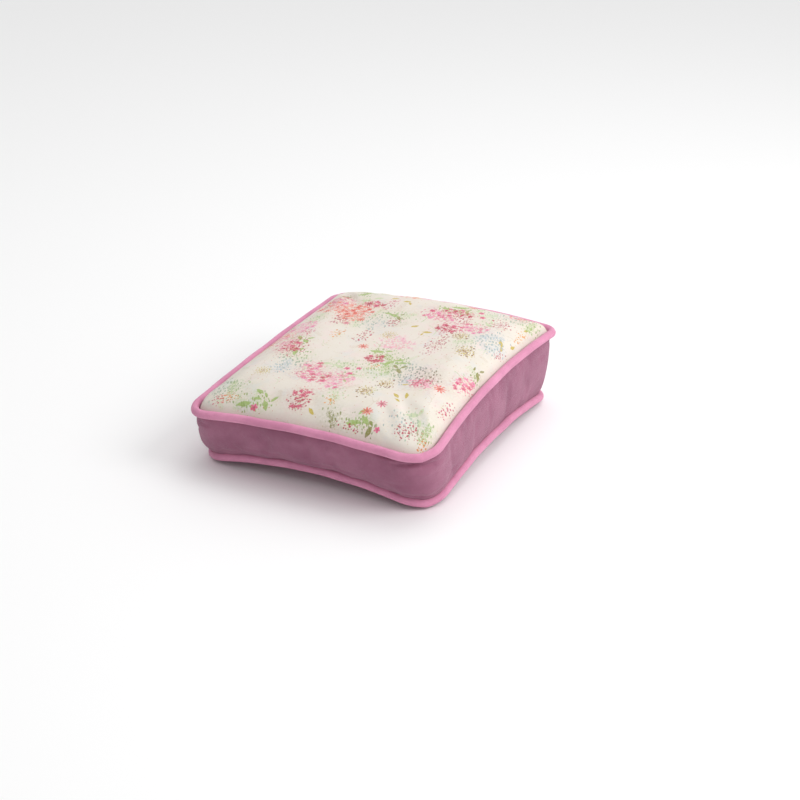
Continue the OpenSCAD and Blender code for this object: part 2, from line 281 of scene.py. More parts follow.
s_grid, p_grid, u_grid, v_grid = grid_param()
order, p_rim = rim_order()
panel_count = (NX + 1) * (NY + 1)
t_rows = np.linspace(END_T, 1 - END_T, ROWS + 1)
top = top_points(s_grid, p_grid).reshape(-1, 3)
bottom = bottom_points(s_grid, p_grid).reshape(-1, 3)
wall = np.concatenate([wall_points(p_rim, np.full(COUNT, t)) for t in t_rows])
net = np.concatenate([top, bottom, wall])
wall_start = 2 * panel_count
faces = (panel_faces(0, True) + panel_faces(panel_count, False)
         + grid_quads(ROWS + 1, COUNT, loop_columns=True, start=wall_start))
for k in range(COUNT):
    following = (k + 1) % COUNT
    here, there = order[k], order[following]
    high, low = wall_start + ROWS * COUNT, wall_start
    faces.append((high + k, high + following, there, here))
    faces.append((panel_count + here, panel_count + there, low + following, low + k))

# Each side seam of the zipped back is the column of the net nearest to SEAM_X
row_x = np.where((p_rim > 2) & (p_rim < 3), wall.reshape(ROWS + 1, COUNT, 3)[ROWS // 2, :, 0], 1e9)
right_seam, left_seam = (int(np.argmin(np.abs(row_x - x))) for x in (SEAM_X, -SEAM_X))


def inflate(points):
    """Blender's cloth under pressure; returns where it has moved the points.

    It is pinned along the seams, behind the zip and where the underside lies on the seat.
    """
    cover = make_mesh("cover_sim", points, faces)
    pin = np.zeros(len(points))
    rim_at = np.array(order)
    pin[rim_at] = pin[panel_count + rim_at] = 1
    pin[panel_count:wall_start][(s_grid < 0.62).ravel()] = 1
    columns = pin[wall_start:].reshape(ROWS + 1, COUNT)
    columns[[0, ROWS]] = 1
    columns[:, right_seam:left_seam + 1] = 1
    group = cover.vertex_groups.new(name="pin")
    group.add([int(i) for i in np.nonzero(pin)[0]], 1.0, "REPLACE")
    cloth = cover.modifiers.new("Cloth", "CLOTH")
    cs = cloth.settings
    cs.quality = 6
    cs.mass = 0.25
    cs.tension_stiffness = cs.compression_stiffness = 18
    cs.shear_stiffness = 6
    cs.bending_stiffness = 0.4
    cs.effector_weights.gravity = 0
    cs.use_pressure = True
    cs.uniform_pressure_force = 4
    cs.vertex_group_mass = "pin"
    cs.pin_stiffness = 4
    cs.shrink_min = -0.012
    cloth.collision_settings.use_collision = False
    for frame_number in range(1, SIM_FRAMES + 1):
        bpy.context.scene.frame_set(frame_number)
    graph = bpy.context.evaluated_depsgraph_get()
    moved = read(cover.evaluated_get(graph).to_mesh().vertices, "co") / MM
    bpy.data.objects.remove(cover)
    bpy.context.scene.frame_set(1)
    return moved


def capped(points, moved, most):
    """Moves each point towards its simulated place, but never further than about most."""
    step = moved - points
    far = np.linalg.norm(step, axis=1, keepdims=True)
    return points + step * (most * np.tanh(far / most) / np.maximum(far, 1e-9))


# The most that the simulation may move the top, the underside and the boxing, in mm. When it is
# left out, the net keeps its smooth shape.
SIM_FRAMES, MOST_MOVED = 20, (2.4, 4.0, 3.5)
most = np.repeat(MOST_MOVED, [panel_count, panel_count, len(net) - wall_start])
net = capped(net, inflate(net), most[:, None])
top_net, low_net, wall_net = net[:panel_count], net[panel_count:wall_start], net[wall_start:]
wall_net = wall_net.reshape(ROWS + 1, COUNT, 3)
low_net[:, 2] = np.maximum(low_net[:, 2], 0.0)

# The printed top lies slightly uneven over its wadding, and is dragged a little beside its seam
hills = (0.8 * ripple(41, u_grid * 90 + v_grid * 150, 120)
         + 0.6 * ripple(42, v_grid * 200 - u_grid * 60, 75))
drag = 0.5 * ripple(43, p_grid * SIDE_LEN, 22) * np.exp(-(1 - s_grid) * 22)
top_net[:, 2] += ((hills * (1 - s_grid ** 6)) + drag * (1 - smooth(s_grid, 0.98, 1))).ravel()

top_panel = make_mesh("printed_top", top_net, panel_faces(0, True))
bottom_panel = make_mesh("underside", low_net, panel_faces(0, False))
ring_columns = [(left_seam + k) % COUNT for k in range((right_seam - left_seam) % COUNT + 1)]
ring_net = wall_net[:, ring_columns]
columns = len(ring_columns)
boxing = make_mesh("boxing", ring_net.reshape(-1, 3), grid_quads(ROWS + 1, columns))

# p, height share, length along p, height, depth in mm and slant of each crease
CREASES = [
    (0.955, 0.85, 0.055, 0.032, -4.2, 0.5), (1.030, 0.81, 0.045, 0.034, -3.8, -0.9),
    (0.87, 0.90, 0.060, 0.030, -2.6, 0.25), (1.000, 0.68, 0.030, 0.070, 1.6, 0.0),
    (0.985, 0.17, 0.060, 0.036, -3.6, -0.4), (1.050, 0.22, 0.040, 0.036, -1.8, 0.8),
    (0.62, 0.26, 0.130, 0.050, -1.5, 0.15), (0.30, 0.30, 0.110, 0.055, -1.2, -0.2),
    (0.78, 0.55, 0.100, 0.090, 1.2, 0.3), (0.04, 0.80, 0.040, 0.045, -1.8, -0.6),
    (3.97, 0.60, 0.050, 0.055, -1.5, 0.4), (0.12, 0.20, 0.050, 0.036, -1.5, 0.3),
    (1.35, 0.60, 0.120, 0.090, -1.3, 0.2), (1.70, 0.35, 0.110, 0.070, -1.2, -0.2),
    (1.90, 0.72, 0.050, 0.050, -1.6, 0.5), (3.30, 0.40, 0.120, 0.070, -1.2, 0.2),
    (3.65, 0.66, 0.110, 0.060, -1.1, -0.3), (1.15, 0.30, 0.060, 0.050, -1.4, 0.4),
    (0.45, 0.72, 0.140, 0.080, 0.9, -0.1), (0.90, 0.40, 0.070, 0.050, -1.3, 0.7),
    (1.12, 0.58, 0.050, 0.060, -1.2, -0.7),
]


def crease_boxing(piece):
    """Puckers along both seams, slack between them, and the listed creases."""
    p, high, _ = read(piece.data.attributes["at"].data, "vector").T
    p = p % 4
    walk = p * SIDE_LEN
    dent = (0.7 * ripple(31, walk, 13) * np.exp(-(1 - high) * 10)
            + 0.6 * ripple(32, walk, 12) * np.exp(-high * 10)
            + 0.9 * ripple(33, walk + high * 60, 95) * np.sin(np.pi * high))
    for along, rise, long, tall, depth, slant in CREASES:
        d = (p - along + 2) % 4 - 2
        dent += depth * np.exp(-(d / long) ** 2 - ((high - rise - slant * d) / tall) ** 2)
    held = np.clip(np.minimum(high - END_T, 1 - END_T - high) / 0.05, 0, 1)
    held = held * smooth(np.abs(p - 2.5), 0.385, 0.42)
    place = vertices(piece)
    place[:, :2] += (dent * held)[:, None] * upper_seam(p)[1]
    set_vertices(piece, place)


def flat_cloth(piece, points):
    """Keeps where each vertex lies in the flat cloth, in mm, for the weave and the print."""
    note(piece, "flat", points)


def length_along(points):
    """How far each point of a path lies from its first."""
    return np.concatenate([[0], np.cumsum(np.linalg.norm(np.diff(points, axis=0), axis=1))])


# The print is laid out flat: further out than seen from above, by the length of the rolled edge
ROLL_STEPS, STEEPEST = 400, 3
share = np.linspace(0, 1, ROLL_STEPS)
rise = np.gradient(crown_lift(share), share * SIDE_LEN / 2)
extra = np.cumsum(np.sqrt(1 + np.minimum(rise, STEEPEST) ** 2) - 1) * SIDE_LEN / 2 / ROLL_STEPS
flat_top = top_points(s_grid, p_grid)
top_out = rim(p_grid, HALF_W, HALF_D, TOP_CORNER_R)[1]
flat_top[..., :2] += top_out * np.interp(s_grid, share, extra)[..., None]
flat_cloth(top_panel, flat_top.reshape(-1, 3) * [1, 1, 0])
flat_cloth(bottom_panel, low_net * [1, 1, 0])
walk, up = length_along(ring_net[ROWS // 2]), np.linspace(0, 80, ROWS + 1)
flat_cloth(boxing, [(along, high, 0) for high in up for along in walk])
# Here p runs on past 4, so that it can be averaged when the boxing is refined
boxing_p = [p_rim[k] + (4 if k < left_seam else 0) for k in ring_columns]
note(boxing, "at", [(p, t, 0) for t in t_rows for p in boxing_p])
for piece in (top_panel, bottom_panel, boxing):
    refine(piece)
    if piece == boxing:
        crease_boxing(boxing)
    thicken(piece, COVER_PLY)


def unit(vectors):
    return vectors / np.linalg.norm(vectors, axis=1, keepdims=True)


def around(path, side, up, radius, sides):
    """Points round a path, from the side and up directions of its section.

    The radius is one number, or one for each point and each side.
    """
    angle = np.linspace(0, 2 * np.pi, sides, endpoint=False)[None, :, None]
    radius = np.broadcast_to(radius, (len(path), sides))[..., None]
    rings = path[:, None] + radius * (np.cos(angle) * side[:, None] + np.sin(angle) * up[:, None])
    return rings.reshape(-1, 3)


def closed_tube(name, centre, side, up, radius, sides):
    faces = flipped(grid_quads(len(centre), sides, True, True))
    return make_mesh(name, around(centre, side, up, radius, sides), faces)


def path_frame(centre, out):
    """Across and up directions of a seam path, square to its run."""
    run = unit(np.roll(centre, -1, 0) - np.roll(centre, 1, 0))
    side = np.concatenate([out, np.zeros((len(out), 1))], -1)
    side = unit(side - run * (side * run).sum(1, keepdims=True))
    return side, np.cross(run, side) * -1


def piping(name, seam_at, seed):
    """Bias cloth round a cord: a little uneven, gathered on the inside of each corner."""
    steps, sides = 900, 24
    p = np.linspace(2.5, 6.5, steps + 1)[:-1]
    centre, out = seam_at(p)
    side, up = path_frame(centre, out)
    along = p * SIDE_LEN
    angle = np.linspace(0, 2 * np.pi, sides, endpoint=False)
    corner = np.exp(-((((p + 0.5) % 1) - 0.5) / 0.07) ** 2)
    uneven = 0.12 * ripple(seed, along, 45) + 0.07 * ripple(seed + 1, along, 14)
    inner = np.clip(-np.cos(angle), 0, 1)
    fold = corner[:, None] * inner * 0.45 * ripple(seed + 2, along, 5.5)[:, None]
    piece = closed_tube(name, centre, side, up, PIPE_R + uneven[:, None] + fold, sides)
    flat_cloth(piece, [(at, round_it, 0) for at in along for round_it in angle * PIPE_R])
    return piece


top_pipe = piping("piping_top", upper_seam, 11)
low_pipe = piping("piping_bottom", lower_seam, 21)

# ---- Cords and filling -----------------------------------------------------------------------
STRANDS, STRAND_R, STRAND_OFF = 3, 2.05, 2.0   # and how far a strand lies from the cord's middle


def cord(name, seam_at, turns):
    """Three-strand cord: one strand goes round the pad three times and meets itself."""
    p = np.linspace(0, 4 * STRANDS, 1200 * STRANDS, endpoint=False)
    centre, out = seam_at(p % 4)
    side, up = path_frame(centre, out)
    lay = p / (4 * STRANDS) * 2 * np.pi * (STRANDS * turns + 1)
    centre = centre + STRAND_OFF * (np.cos(lay)[:, None] * side + np.sin(lay)[:, None] * up)
    return closed_tube(name, centre, side, up, STRAND_R, 8)


def loft(name, rings):
    """A solid through rings of points of equal length, closed at its two ends."""
    m = len(rings[0])
    ends = [tuple(range(m - 1, -1, -1)), tuple(range((len(rings) - 1) * m, len(rings) * m))]
    return make_mesh(name, np.concatenate(rings), grid_quads(len(rings), m, loop_columns=True) + ends)


def sampled(grid, s, p):
    """Points of a panel's net at share s of the way out to p."""
    side, f = np.floor(p % 4).astype(int), 2 * (p % 1) - 1
    one = np.ones_like(f)
    a = np.choose(side, [f, one, -f, -one]) * s
    b = np.choose(side, [-one, f, one, -f]) * s
    i, j = (a + 1) / 2 * NX, (b + 1) / 2 * NY
    i0, j0 = np.clip(i.astype(int), 0, NX - 1), np.clip(j.astype(int), 0, NY - 1)
    fi, fj = (i - i0)[:, None], (j - j0)[:, None]
    grid = grid.reshape(NX + 1, NY + 1, 3)
    return ((1 - fi) * (1 - fj) * grid[i0, j0] + fi * (1 - fj) * grid[i0 + 1, j0]
            + (1 - fi) * fj * grid[i0, j0 + 1] + fi * fj * grid[i0 + 1, j0 + 1])


WRAP, FOAM_BASE = 18.0, 8.4      # the foam lies this far in from the seams, and this high
ring_p = p_rim[::2]
low_line, _ = lower_seam(ring_p)
high_line, high_out = upper_seam(ring_p)


def band(t, inward):
    """A ring between the two seams, moved in from the sides."""
    place = low_line * (1 - t) + high_line * t
    place[:, :2] -= high_out * inward
    return place


def level(z, inward, shares):
    """Level rings inside the lower seam, one for each share of the way out."""
    centre, line = (0, LOW_Y), band(0.0, inward)[:, :2]
    return [np.column_stack([centre + (line - centre) * share, np.full(len(line), z)])
            for share in shares]


def below_top(drop, inward, shares):
    """Rings inside the upper seam, this far below the plane through the pad's top corners."""
    rings = []
    for share in shares:
        place = band(1.0, inward)
        place[:, :2] = place[:, :2] * share
        place[:, 2] = corner_plane(place, HALF_W, HALF_D, TOP_CORNER_Z) - drop
        rings.append(place)
    return rings


def under_cloth(grid, lift, shares):
    """Rings that follow a panel of cloth, moved up or down from it."""
    return [sampled(grid, share, ring_p) + [0, 0, lift] for share in shares]


foam_sides = ((0.10, 1.5), (0.12, 0.3), (0.3, 0), (0.55, 0), (0.76, 0), (0.8, 1.2))
foam = loft("foam_block", level(FOAM_BASE, WRAP, (0.04, 0.35, 0.58))
            + [band(t, WRAP + inward) for t, inward in foam_sides]
            + below_top(5.2, WRAP, (0.96, 0.93, 0.6, 0.3, 0.04)))
top_fill = loft("wadding_top", below_top(3.6, 14.0, (0.04, 0.4, 0.8, 0.97)) + under_cloth(
    top_net, -2.4, (0.945, 0.90, 0.84, 0.76, 0.66, 0.54, 0.4, 0.26, 0.12, 0.03)))
low_fill = loft("wadding_bottom", under_cloth(low_net, 1.6, (0.03, 0.3, 0.58, 0.7, 0.8, 0.88))
                + under_cloth(low_net, 3.6, (0.9,)) + level(FOAM_BASE - 1.2, WRAP, (0.56, 0.3, 0.03)))

# The band round the foam stands back behind the zip, clear of the slider's inner plate
hollow = 3.4 + 3.5 * (1 - smooth(np.abs(ring_p - 2.5), 0.39, 0.47))
section = []
for row in (5, 7, 9, 12, 15, 17, 19):
    ring = wall_net[row, ::2].copy()
    ring[:, :2] -= high_out * hollow[:, None]
    section.append(ring)
section += [band(t, WRAP - 0.5) for t in (0.78, 0.5, 0.24)]
side_fill = make_mesh("wadding_side", np.concatenate(section),
                      grid_quads(len(section), len(ring_p), True, True))
refine(side_fill)
top_cord = cord("cord_top", upper_seam, 88)
low_cord = cord("cord_bottom", lower_seam, 82)

# ---- Zip -------------------------------------------------------------------------------------
# Drawn with u along the zip, v up across it and o outward from the pad's back.
FOLD_EDGES = (ZIP_Z + ZIP_GAP / 2, ZIP_Z - ZIP_GAP / 2)
STITCH_OFF, STITCH_R = 4.0, 0.24   # the stitch rows' distance from the folds, and the thread
TAPE_FACE, TAPE_BACK, TAPE_HALF = -1.3, -1.9, 132
TAPE_IN, TAPE_OUT = 0.75, 14.7     # a tape's two edges, from the zip's middle
TEETH, PITCH, WIRE_R = 160, 1.5, 0.36


def on_back(points):
    """Places given as u, v and o, in the pad's own frame."""
    u, v, o = np.moveaxis(np.asarray(points, float), -1, 0)
    return np.stack([u, ZIP_Y + o, ZIP_Z + v], -1)


def tubes(name, paths, radius, sides=8, across=(0, 0, 1)):
    """Round rods along open paths, as one mesh."""
    points, quads = [], []
    for path in paths:
        run = np.gradient(path, axis=0)
        side = unit(np.cross(run, across))
        start, steps = sum(len(q) for q in points), len(path)
        points.append(around(path, side, unit(np.cross(side, run)), radius, sides))
        quads += grid_quads(steps, sides, loop_columns=True, start=start)
        quads += [tuple(start + k for k in range(sides - 1, -1, -1)),
                  tuple(start + (steps - 1) * sides + k for k in range(sides))]
    return make_mesh(name, np.concatenate(points), quads)


def slab(name, outline, low, high, bevel, place=(0, 0, 0), axis="o", round_steps=3):
    """A plate cut to an outline, or to an outline and holes, with rounded edges.

    The outline lies in u and v and the plate's thickness runs along o; with axis "v" the outline
    lies in u and o instead.
    """
    loops = outline if isinstance(outline[0][0], (tuple, list, np.ndarray)) else [outline]
    curve = bpy.data.curves.new(name, "CURVE")
    curve.dimensions, curve.fill_mode = "2D", "BOTH"
    for loop in loops:
        spline = curve.splines.new("POLY")
        spline.points.add(len(loop) - 1)
        spline.use_cyclic_u = True
        for point, at in zip(spline.points, loop):
            point.co = (at[0], at[1], 0, 1)
    curve.extrude = (high - low) / 2 - bevel
    curve.bevel_depth, curve.bevel_resolution, curve.offset = bevel, round_steps, -bevel
    holder = bpy.data.objects.new(name, curve)
    bpy.context.scene.collection.objects.link(holder)
    graph = bpy.context.evaluated_depsgraph_get()
    mesh = bpy.data.meshes.new_from_object(holder.evaluated_get(graph), depsgraph=graph)
    bpy.data.objects.remove(holder)
    at = np.array([v.co[:] for v in mesh.vertices]) + [0, 0, (low + high) / 2]
    if axis == "v":
        at = at[:, [0, 2, 1]]
    at = on_back(at + np.asarray(place, float))
    faces = [tuple(f.vertices) if axis == "v" else tuple(f.vertices)[::-1] for f in mesh.polygons]
    return make_mesh(name, at, faces, smooth_faces=False)


def joined(name, pieces):
    """One mesh out of several, with sharp edges kept and the rest shaded smooth."""
    points, faces, start = [], [], 0
    for piece in pieces:
        at = vertices(piece)
        points.append(at)
        faces += [tuple(start + i for i in f.vertices) for f in piece.data.polygons]
        start += len(at)
        bpy.data.objects.remove(piece)
    made = make_mesh(name, np.concatenate(points), faces)
    bm = bmesh.new()
    bm.from_mesh(made.data)
    bmesh.ops.remove_doubles(bm, verts=bm.verts, dist=1e-6)
    bmesh.ops.recalc_face_normals(bm, faces=bm.faces)
    bm.to_mesh(made.data)
    bm.free()
    made.data.set_sharp_from_angle(angle=math.radians(38))
    return made


def arc(u, v, r, start, stop, steps=10):
    """Points round (u, v), start and stop in degrees."""
    return [(u + r * math.cos(math.radians(a)), v + r * math.sin(math.radians(a)))
            for a in np.linspace(start, stop, steps)]


def rounded(u0, u1, v0, v1, r):
    """Outline of a rectangle with rounded corners."""
    corners = ((u1 - r, v1 - r), (u0 + r, v1 - r), (u0 + r, v0 + r), (u1 - r, v0 + r))
    return [at for k, (u, v) in enumerate(corners) for at in arc(u, v, r, 90 * k, 90 * k + 90, 6)]


fold_p = np.linspace(p_rim[right_seam], p_rim[left_seam], 241)


def strip_surface(p, z):
    """Points of the boxing at p and at height z."""
    low, _ = lower_seam(p)
    high, _ = upper_seam(p)
    return wall_points(p, (z - low[:, 2]) / (high[:, 2] - low[:, 2]))


def back_strip(name, side):
    """Half of the zipped back, turned under along the zip and top-stitched."""
    line = (upper_seam if side > 0 else lower_seam)(fold_p)[0]
    edge = FOLD_EDGES[0 if side > 0 else 1]
    end = line[:, 2] - side * (PIPE_R - 1.0)
    x = strip_surface(fold_p, np.full(len(fold_p), edge))[:, 0]
    gather = 0.22 * ripple(51 + side, x, 9) + 0.15 * ripple(53 + side, x, 30)
    rows = []
    for w in np.concatenate([np.linspace(1, 0.30, 11), np.linspace(0.26, 0.03, 14)]):
        z = edge + (end - edge) * w
        place = strip_surface(fold_p, z)
        off = np.abs(z - edge)
        seam_dip = -0.40 * np.exp(-((off - STITCH_OFF) / 0.9) ** 2)
        place[:, 1] += (seam_dip + gather * np.exp(-((off - STITCH_OFF) / 4.5) ** 2)
                        + 0.3 * np.exp(-(off / 2.0) ** 2))
        place[:, 1] += 0.35 * ripple(57 + side, x, 16) * np.exp(-((1 - w) * 7)) * (w < 0.999)
        rows.append(place)
    fold, fold_r = rows[-1], 0.75
    turns = [(fold_r * (1 - math.cos(a)), -fold_r * math.sin(a))
             for a in np.radians(np.linspace(20, 180, 8))]
    for inward, back in turns + [(2 * fold_r, 2.0), (2 * fold_r, 4.0), (2 * fold_r, 6.0)]:
        rows.append(fold + [0, -inward, side * back])
    quads = [q[::-side] for q in grid_quads(len(rows), len(fold_p))]
    piece = make_mesh(name, np.concatenate(rows), quads)
    run = length_along(np.array(rows)[:, len(fold_p) // 2])
    flat_cloth(piece, [(across, along, 0) for along in run for across in x])
    thicken(piece, STRIP_PLY)
    return piece


def stitch_row(z):
    """Top-stitching: short threads that dip into the cloth at both ends."""
    paths = []
    share = np.linspace(0, 1, 7)
    xs = strip_surface(fold_p, np.full(len(fold_p), z))[:, 0]
    for u in np.arange(5 - SEAM_X, SEAM_X - 5, 3.0):
        place = strip_surface(np.interp(-u - 2.3 * share, -xs, fold_p), np.full(7, z))
        place[:, 1] += -0.45 + 0.55 * np.sin(np.pi * share) ** 0.6
        paths.append(place)
    return tubes("row", paths, STITCH_R, 6)


def zip_tape(name, side):
    """Woven tape with a thicker cord at the coil's edge, slightly wavy at its free edge."""
    u = np.linspace(-TAPE_HALF, TAPE_HALF, 2 * TAPE_HALF + 1)
    section = [(TAPE_IN, 0.0), (TAPE_IN, 0.25), (1.2, 0.42), (1.9, 0.22), (2.6, 0.02)]
    section += [(v, 0.0) for v in np.linspace(3.6, 13.8, 9)] + [(TAPE_OUT, -0.05)]
    ring = [(v, TAPE_FACE - 0.1 + o) for v, o in section] + [(v, TAPE_BACK) for v, _ in section[::-1]]
    rows = []
    for v, o in ring:
        wave = 0.12 * ripple(61 + side, u, 24) * min(v / TAPE_OUT, 1) ** 2
        rows.append(on_back(np.stack([u, np.full_like(u, side * v), o + wave], -1)))
    m = len(ring)
    quads = grid_quads(len(u), m, loop_columns=True)
    quads += [tuple(range(m))[::-1], tuple((len(u) - 1) * m + k for k in range(m))]
    return make_mesh(name, np.stack(rows, 1).reshape(-1, 3), [q[::side] for q in quads])


def zip_coil(name, side):
    """One continuous monofilament, wound flat and offset half a turn from its partner."""
    a = np.linspace(0, TEETH * 2 * np.pi, TEETH * 14)
    u = -ZIP_LEN / 2 + PITCH * a / (2 * np.pi) + (0.0 if side > 0 else PITCH / 2) - 0.35
    head = np.cos(a)
    v = 1.62 - 1.15 * np.sign(head) * np.abs(head) ** 0.8
    o = -0.45 + 0.78 * np.sin(a)
    keep = u < ZIP_LEN / 2 - 0.4
    return tubes(name, [on_back(np.stack([u, side * v, o], -1))[keep]], WIRE_R, 7, across=(1, 0, 0))


def stop_block(u0, u1, v0, v1):
    """A small clamped metal stop with a dent pressed in its face."""
    body = slab("stop", rounded(u0, u1, v0, v1, 0.5), TAPE_FACE, 0.85, 0.25)
    dent = slab("stop_face", rounded(u0 + 0.7, u1 - 0.7, v0 + 0.45, v1 - 0.45, 0.3), 0.8, 1.0, 0.08)
    return [body, dent]


top_stops = joined("zip_stops_top", stop_block(121, 124, 0.7, 2.9) + stop_block(121, 124, -2.9, -0.7))
low_stop = joined("zip_stop_bottom", stop_block(-124, -121, -3.3, 3.3))


def end_tab(side):
    """A folded scrap of boxing cloth over the end of the zip."""
    near, tall, cuts_u, cuts_v = 125.2, 5.6, 12, 22
    u, v = np.meshgrid(np.linspace(near, SEAM_X - 0.4, cuts_u), np.linspace(-tall, tall, cuts_v),
                       indexing="ij")
    puff = (1 - (np.abs(v) / tall) ** 6) * (1 - np.exp(-(u - near) * 1.6))
    o = -1.0 + 1.1 * puff + 0.12 * np.sin(v * 1.9 + side) * puff
    place = on_back(np.stack([side * u, v, o], -1)).reshape(-1, 3)
    piece = make_mesh("tab", place, [q[::-side] for q in grid_quads(cuts_u, cuts_v)])
    thicken(piece, TAB_PLY)
    return piece


upper_strip = back_strip("zip_back_upper", 1)
lower_strip = back_strip("zip_back_lower", -1)
tabs = joined("zip_tabs", [end_tab(1), end_tab(-1)])
stitches = joined("zip_stitching", [
    stitch_row(FOLD_EDGES[0] + STITCH_OFF), stitch_row(FOLD_EDGES[1] - STITCH_OFF)])
for piece in (tabs, stitches):
    flat_cloth(piece, vertices(piece)[:, [0, 2, 1]] * [1, 1, 0])
upper_tape, lower_tape = zip_tape("zip_tape_top", 1), zip_tape("zip_tape_low", -1)
upper_coil, lower_coil = zip_coil("zip_coil_top", 1), zip_coil("zip_coil_low", -1)

# Slider, drawn at its own middle: two plates, a neck, side rims and a bridge for the pull
REST = ZIP_LEN / 2 - 8
nose = (arc(5.5, 3.5, 1.5, 0, 90, 8) + arc(0.0, 4.75, 0.3, 60, 120, 3)
        + arc(-5.2, 1.7, 1.8, 95, 180, 8) + arc(-5.2, -1.7, 1.8, 180, 265, 8)
        + arc(0.0, -4.75, 0.3, 240, 300, 3) + arc(5.5, -3.5, 1.5, 270, 360, 8))
bridge = ([(-4.0, 2.2), (-4.0, 3.6)] + arc(-2.2, 3.7, 1.8, 180, 90, 8) + arc(2.2, 3.7, 1.8, 90, 0, 8)
          + [(4.0, 3.6), (4.0, 2.2), (2.3, 2.2)] + arc(1.5, 3.7, 0.8, 0, 90, 6)
          + arc(-1.5, 3.7, 0.8, 90, 180, 6) + [(-2.3, 2.2)])
# outline, low and high along o, bevel
slider = joined("zip_slider_body", [slab("part", *plate, (REST, 0, 0)) for plate in (
    (nose, 1.1, 2.3, 0.35), (nose, -4.6, -3.4, 0.35),
    (rounded(3.1, 5.9, -0.10, 0.10, 0.08), -3.6, 1.3, 0.02),
    (rounded(0.2, 5.4, 3.75, 4.6, 0.35), -0.9, 1.3, 0.12),
    (rounded(0.2, 5.4, -4.6, -3.75, 0.35), -0.9, 1.3, 0.12))]
    + [slab("bridge", bridge, -1.0, 1.0, 0.3, (REST, 0, 0), axis="v")])

# Pull tab, hung on its cross-bar and lying back over the closed coils
PIN_O, HOLE_U, HALF_T = 3.3, -22.5, 0.6


def tab_outline(grow):
    """The pull tab's outline, or one inside it when grow is negative."""
    r = max(0.7 + grow, 0.15)
    u, v = -5.4 + grow - r, 3.3 + grow - r
    return (arc(HOLE_U, 0, 3.5 + grow, 90, 270, 24) + [(-14.0, -2.75 - grow), (-8.0, -3.1 - grow)]
            + arc(u, -v, r, 270, 360, 6) + arc(u, v, r, 0, 90, 6)
            + [(-8.0, 3.1 + grow), (-14.0, 2.75 + grow)])


# outline, low and high along o, bevel
pull = joined("zip_pull_tab", [
    slab("part", outline, PIN_O + low, PIN_O + high, bevel, (REST, 0, 0))
    for outline, low, high, bevel in (
        ([tab_outline(0), arc(HOLE_U, 0, 1.6, 360, 0, 25)[:-1]], -HALF_T, HALF_T, 0.2),
        ([tab_outline(0), tab_outline(-0.85)[::-1]], 0.35, 0.85, 0.2),
        ([arc(HOLE_U, 0, 2.5, 0, 360, 33)[:-1], arc(HOLE_U, 0, 1.65, 360, 0, 25)[:-1]], 0.35, 0.8, 0.15),
        (rounded(-6.2, 0.75, 1.45, 2.55, 0.5), -HALF_T, HALF_T, 0.2),
        (rounded(-6.2, 0.75, -2.55, -1.45, 0.5), -HALF_T, HALF_T, 0.2))
] + [tubes("bar", [on_back([(REST, v, PIN_O) for v in np.linspace(-2.55, 2.55, 9)])], 0.72, 16, (1, 0, 0))])

# ---- Materials -------------------------------------------------------------------------------


def srgb(red, green, blue):
    return tuple((c / 255 / 12.92) if c <= 10 else ((c / 255 + 0.055) / 1.055) ** 2.4
                 for c in (red, green, blue))


class Value:
    """A shader socket that can be computed with, as in (a + b) * 2."""

    def __init__(self, net, socket):
        self.net, self.socket = net, socket

    def __abs__(self):
        return self.net.math("ABSOLUTE", self)


for sign, op in (("add", "ADD"), ("sub", "SUBTRACT"), ("mul", "MULTIPLY"), ("truediv", "DIVIDE"),
                 ("pow", "POWER")):
    setattr(Value, f"__{sign}__", lambda self, other, op=op: self.net.math(op, self, other))
    setattr(Value, f"__r{sign}__", lambda self, other, op=op: self.net.math(op, other, self))


class Net:
    """A node tree and short calls that add nodes to it."""

    def __init__(self, tree):
        self.tree = tree

    def plug(self, socket, value):
        if isinstance(value, Value):
            self.tree.links.new(value.socket, socket)
        elif isinstance(value, (tuple, list)) and socket.type == "RGBA" and len(value) == 3:
            socket.default_value = (*value, 1)
        else:
            socket.default_value = value

    def add(self, kind, output=0, inputs=(), **settings):
        """A new node with its settings and inputs, by its output's name or number."""
        node = self.tree.nodes.new("ShaderNode" + kind)
        for name, value in settings.items():
            setattr(node, name, value)
        for key, value in dict(inputs).items():
            self.plug(node.inputs[key], value)
        return Value(self, node.outputs[output])

    def math(self, op, *values):
        return self.add("Math", 0, enumerate(values), operation=op)

    def step(self, x, low, high):
        """0 below low and 1 above high, smooth between; low may be the greater of the two."""
        ends = (1.0, 0.0) if low > high else (0.0, 1.0)
        return self.add("MapRange", "Result", {
            "Value": x, "From Min": min(low, high), "From Max": max(low, high),
            "To Min": ends[0], "To Max": ends[1]}, interpolation_type="SMOOTHSTEP")

    def mix(self, share, a, b):
        return self.add("Mix", 2, {"Factor": share, 6: a, 7: b}, data_type="RGBA")

    def attribute(self, name, output="Vector"):
        return self.add("Attribute", output, attribute_name=name)

    def parts(self, vector):
        node = self.add("SeparateXYZ", 0, {0: vector}).socket.node
        return [Value(self, output) for output in node.outputs]

    def vector(self, *values):
        return self.add("CombineXYZ", 0, enumerate(values))

    def object_place(self):
        return self.add("TexCoord", "Object")

    def noise(self, place, scale, detail=2.0, rough=0.5, output="Fac"):
        return self.add("TexNoise", output, {
            "Vector": place, "Scale": scale, "Detail": detail, "Roughness": rough})

    def cells(self, place, scale):
        """Distance to the nearest of some scattered points, and that point's own colour."""
        near = self.add("TexVoronoi", "Distance", {"Vector": place, "Scale": scale},
                        voronoi_dimensions="2D")
        return near, Value(self, near.socket.node.outputs["Color"])


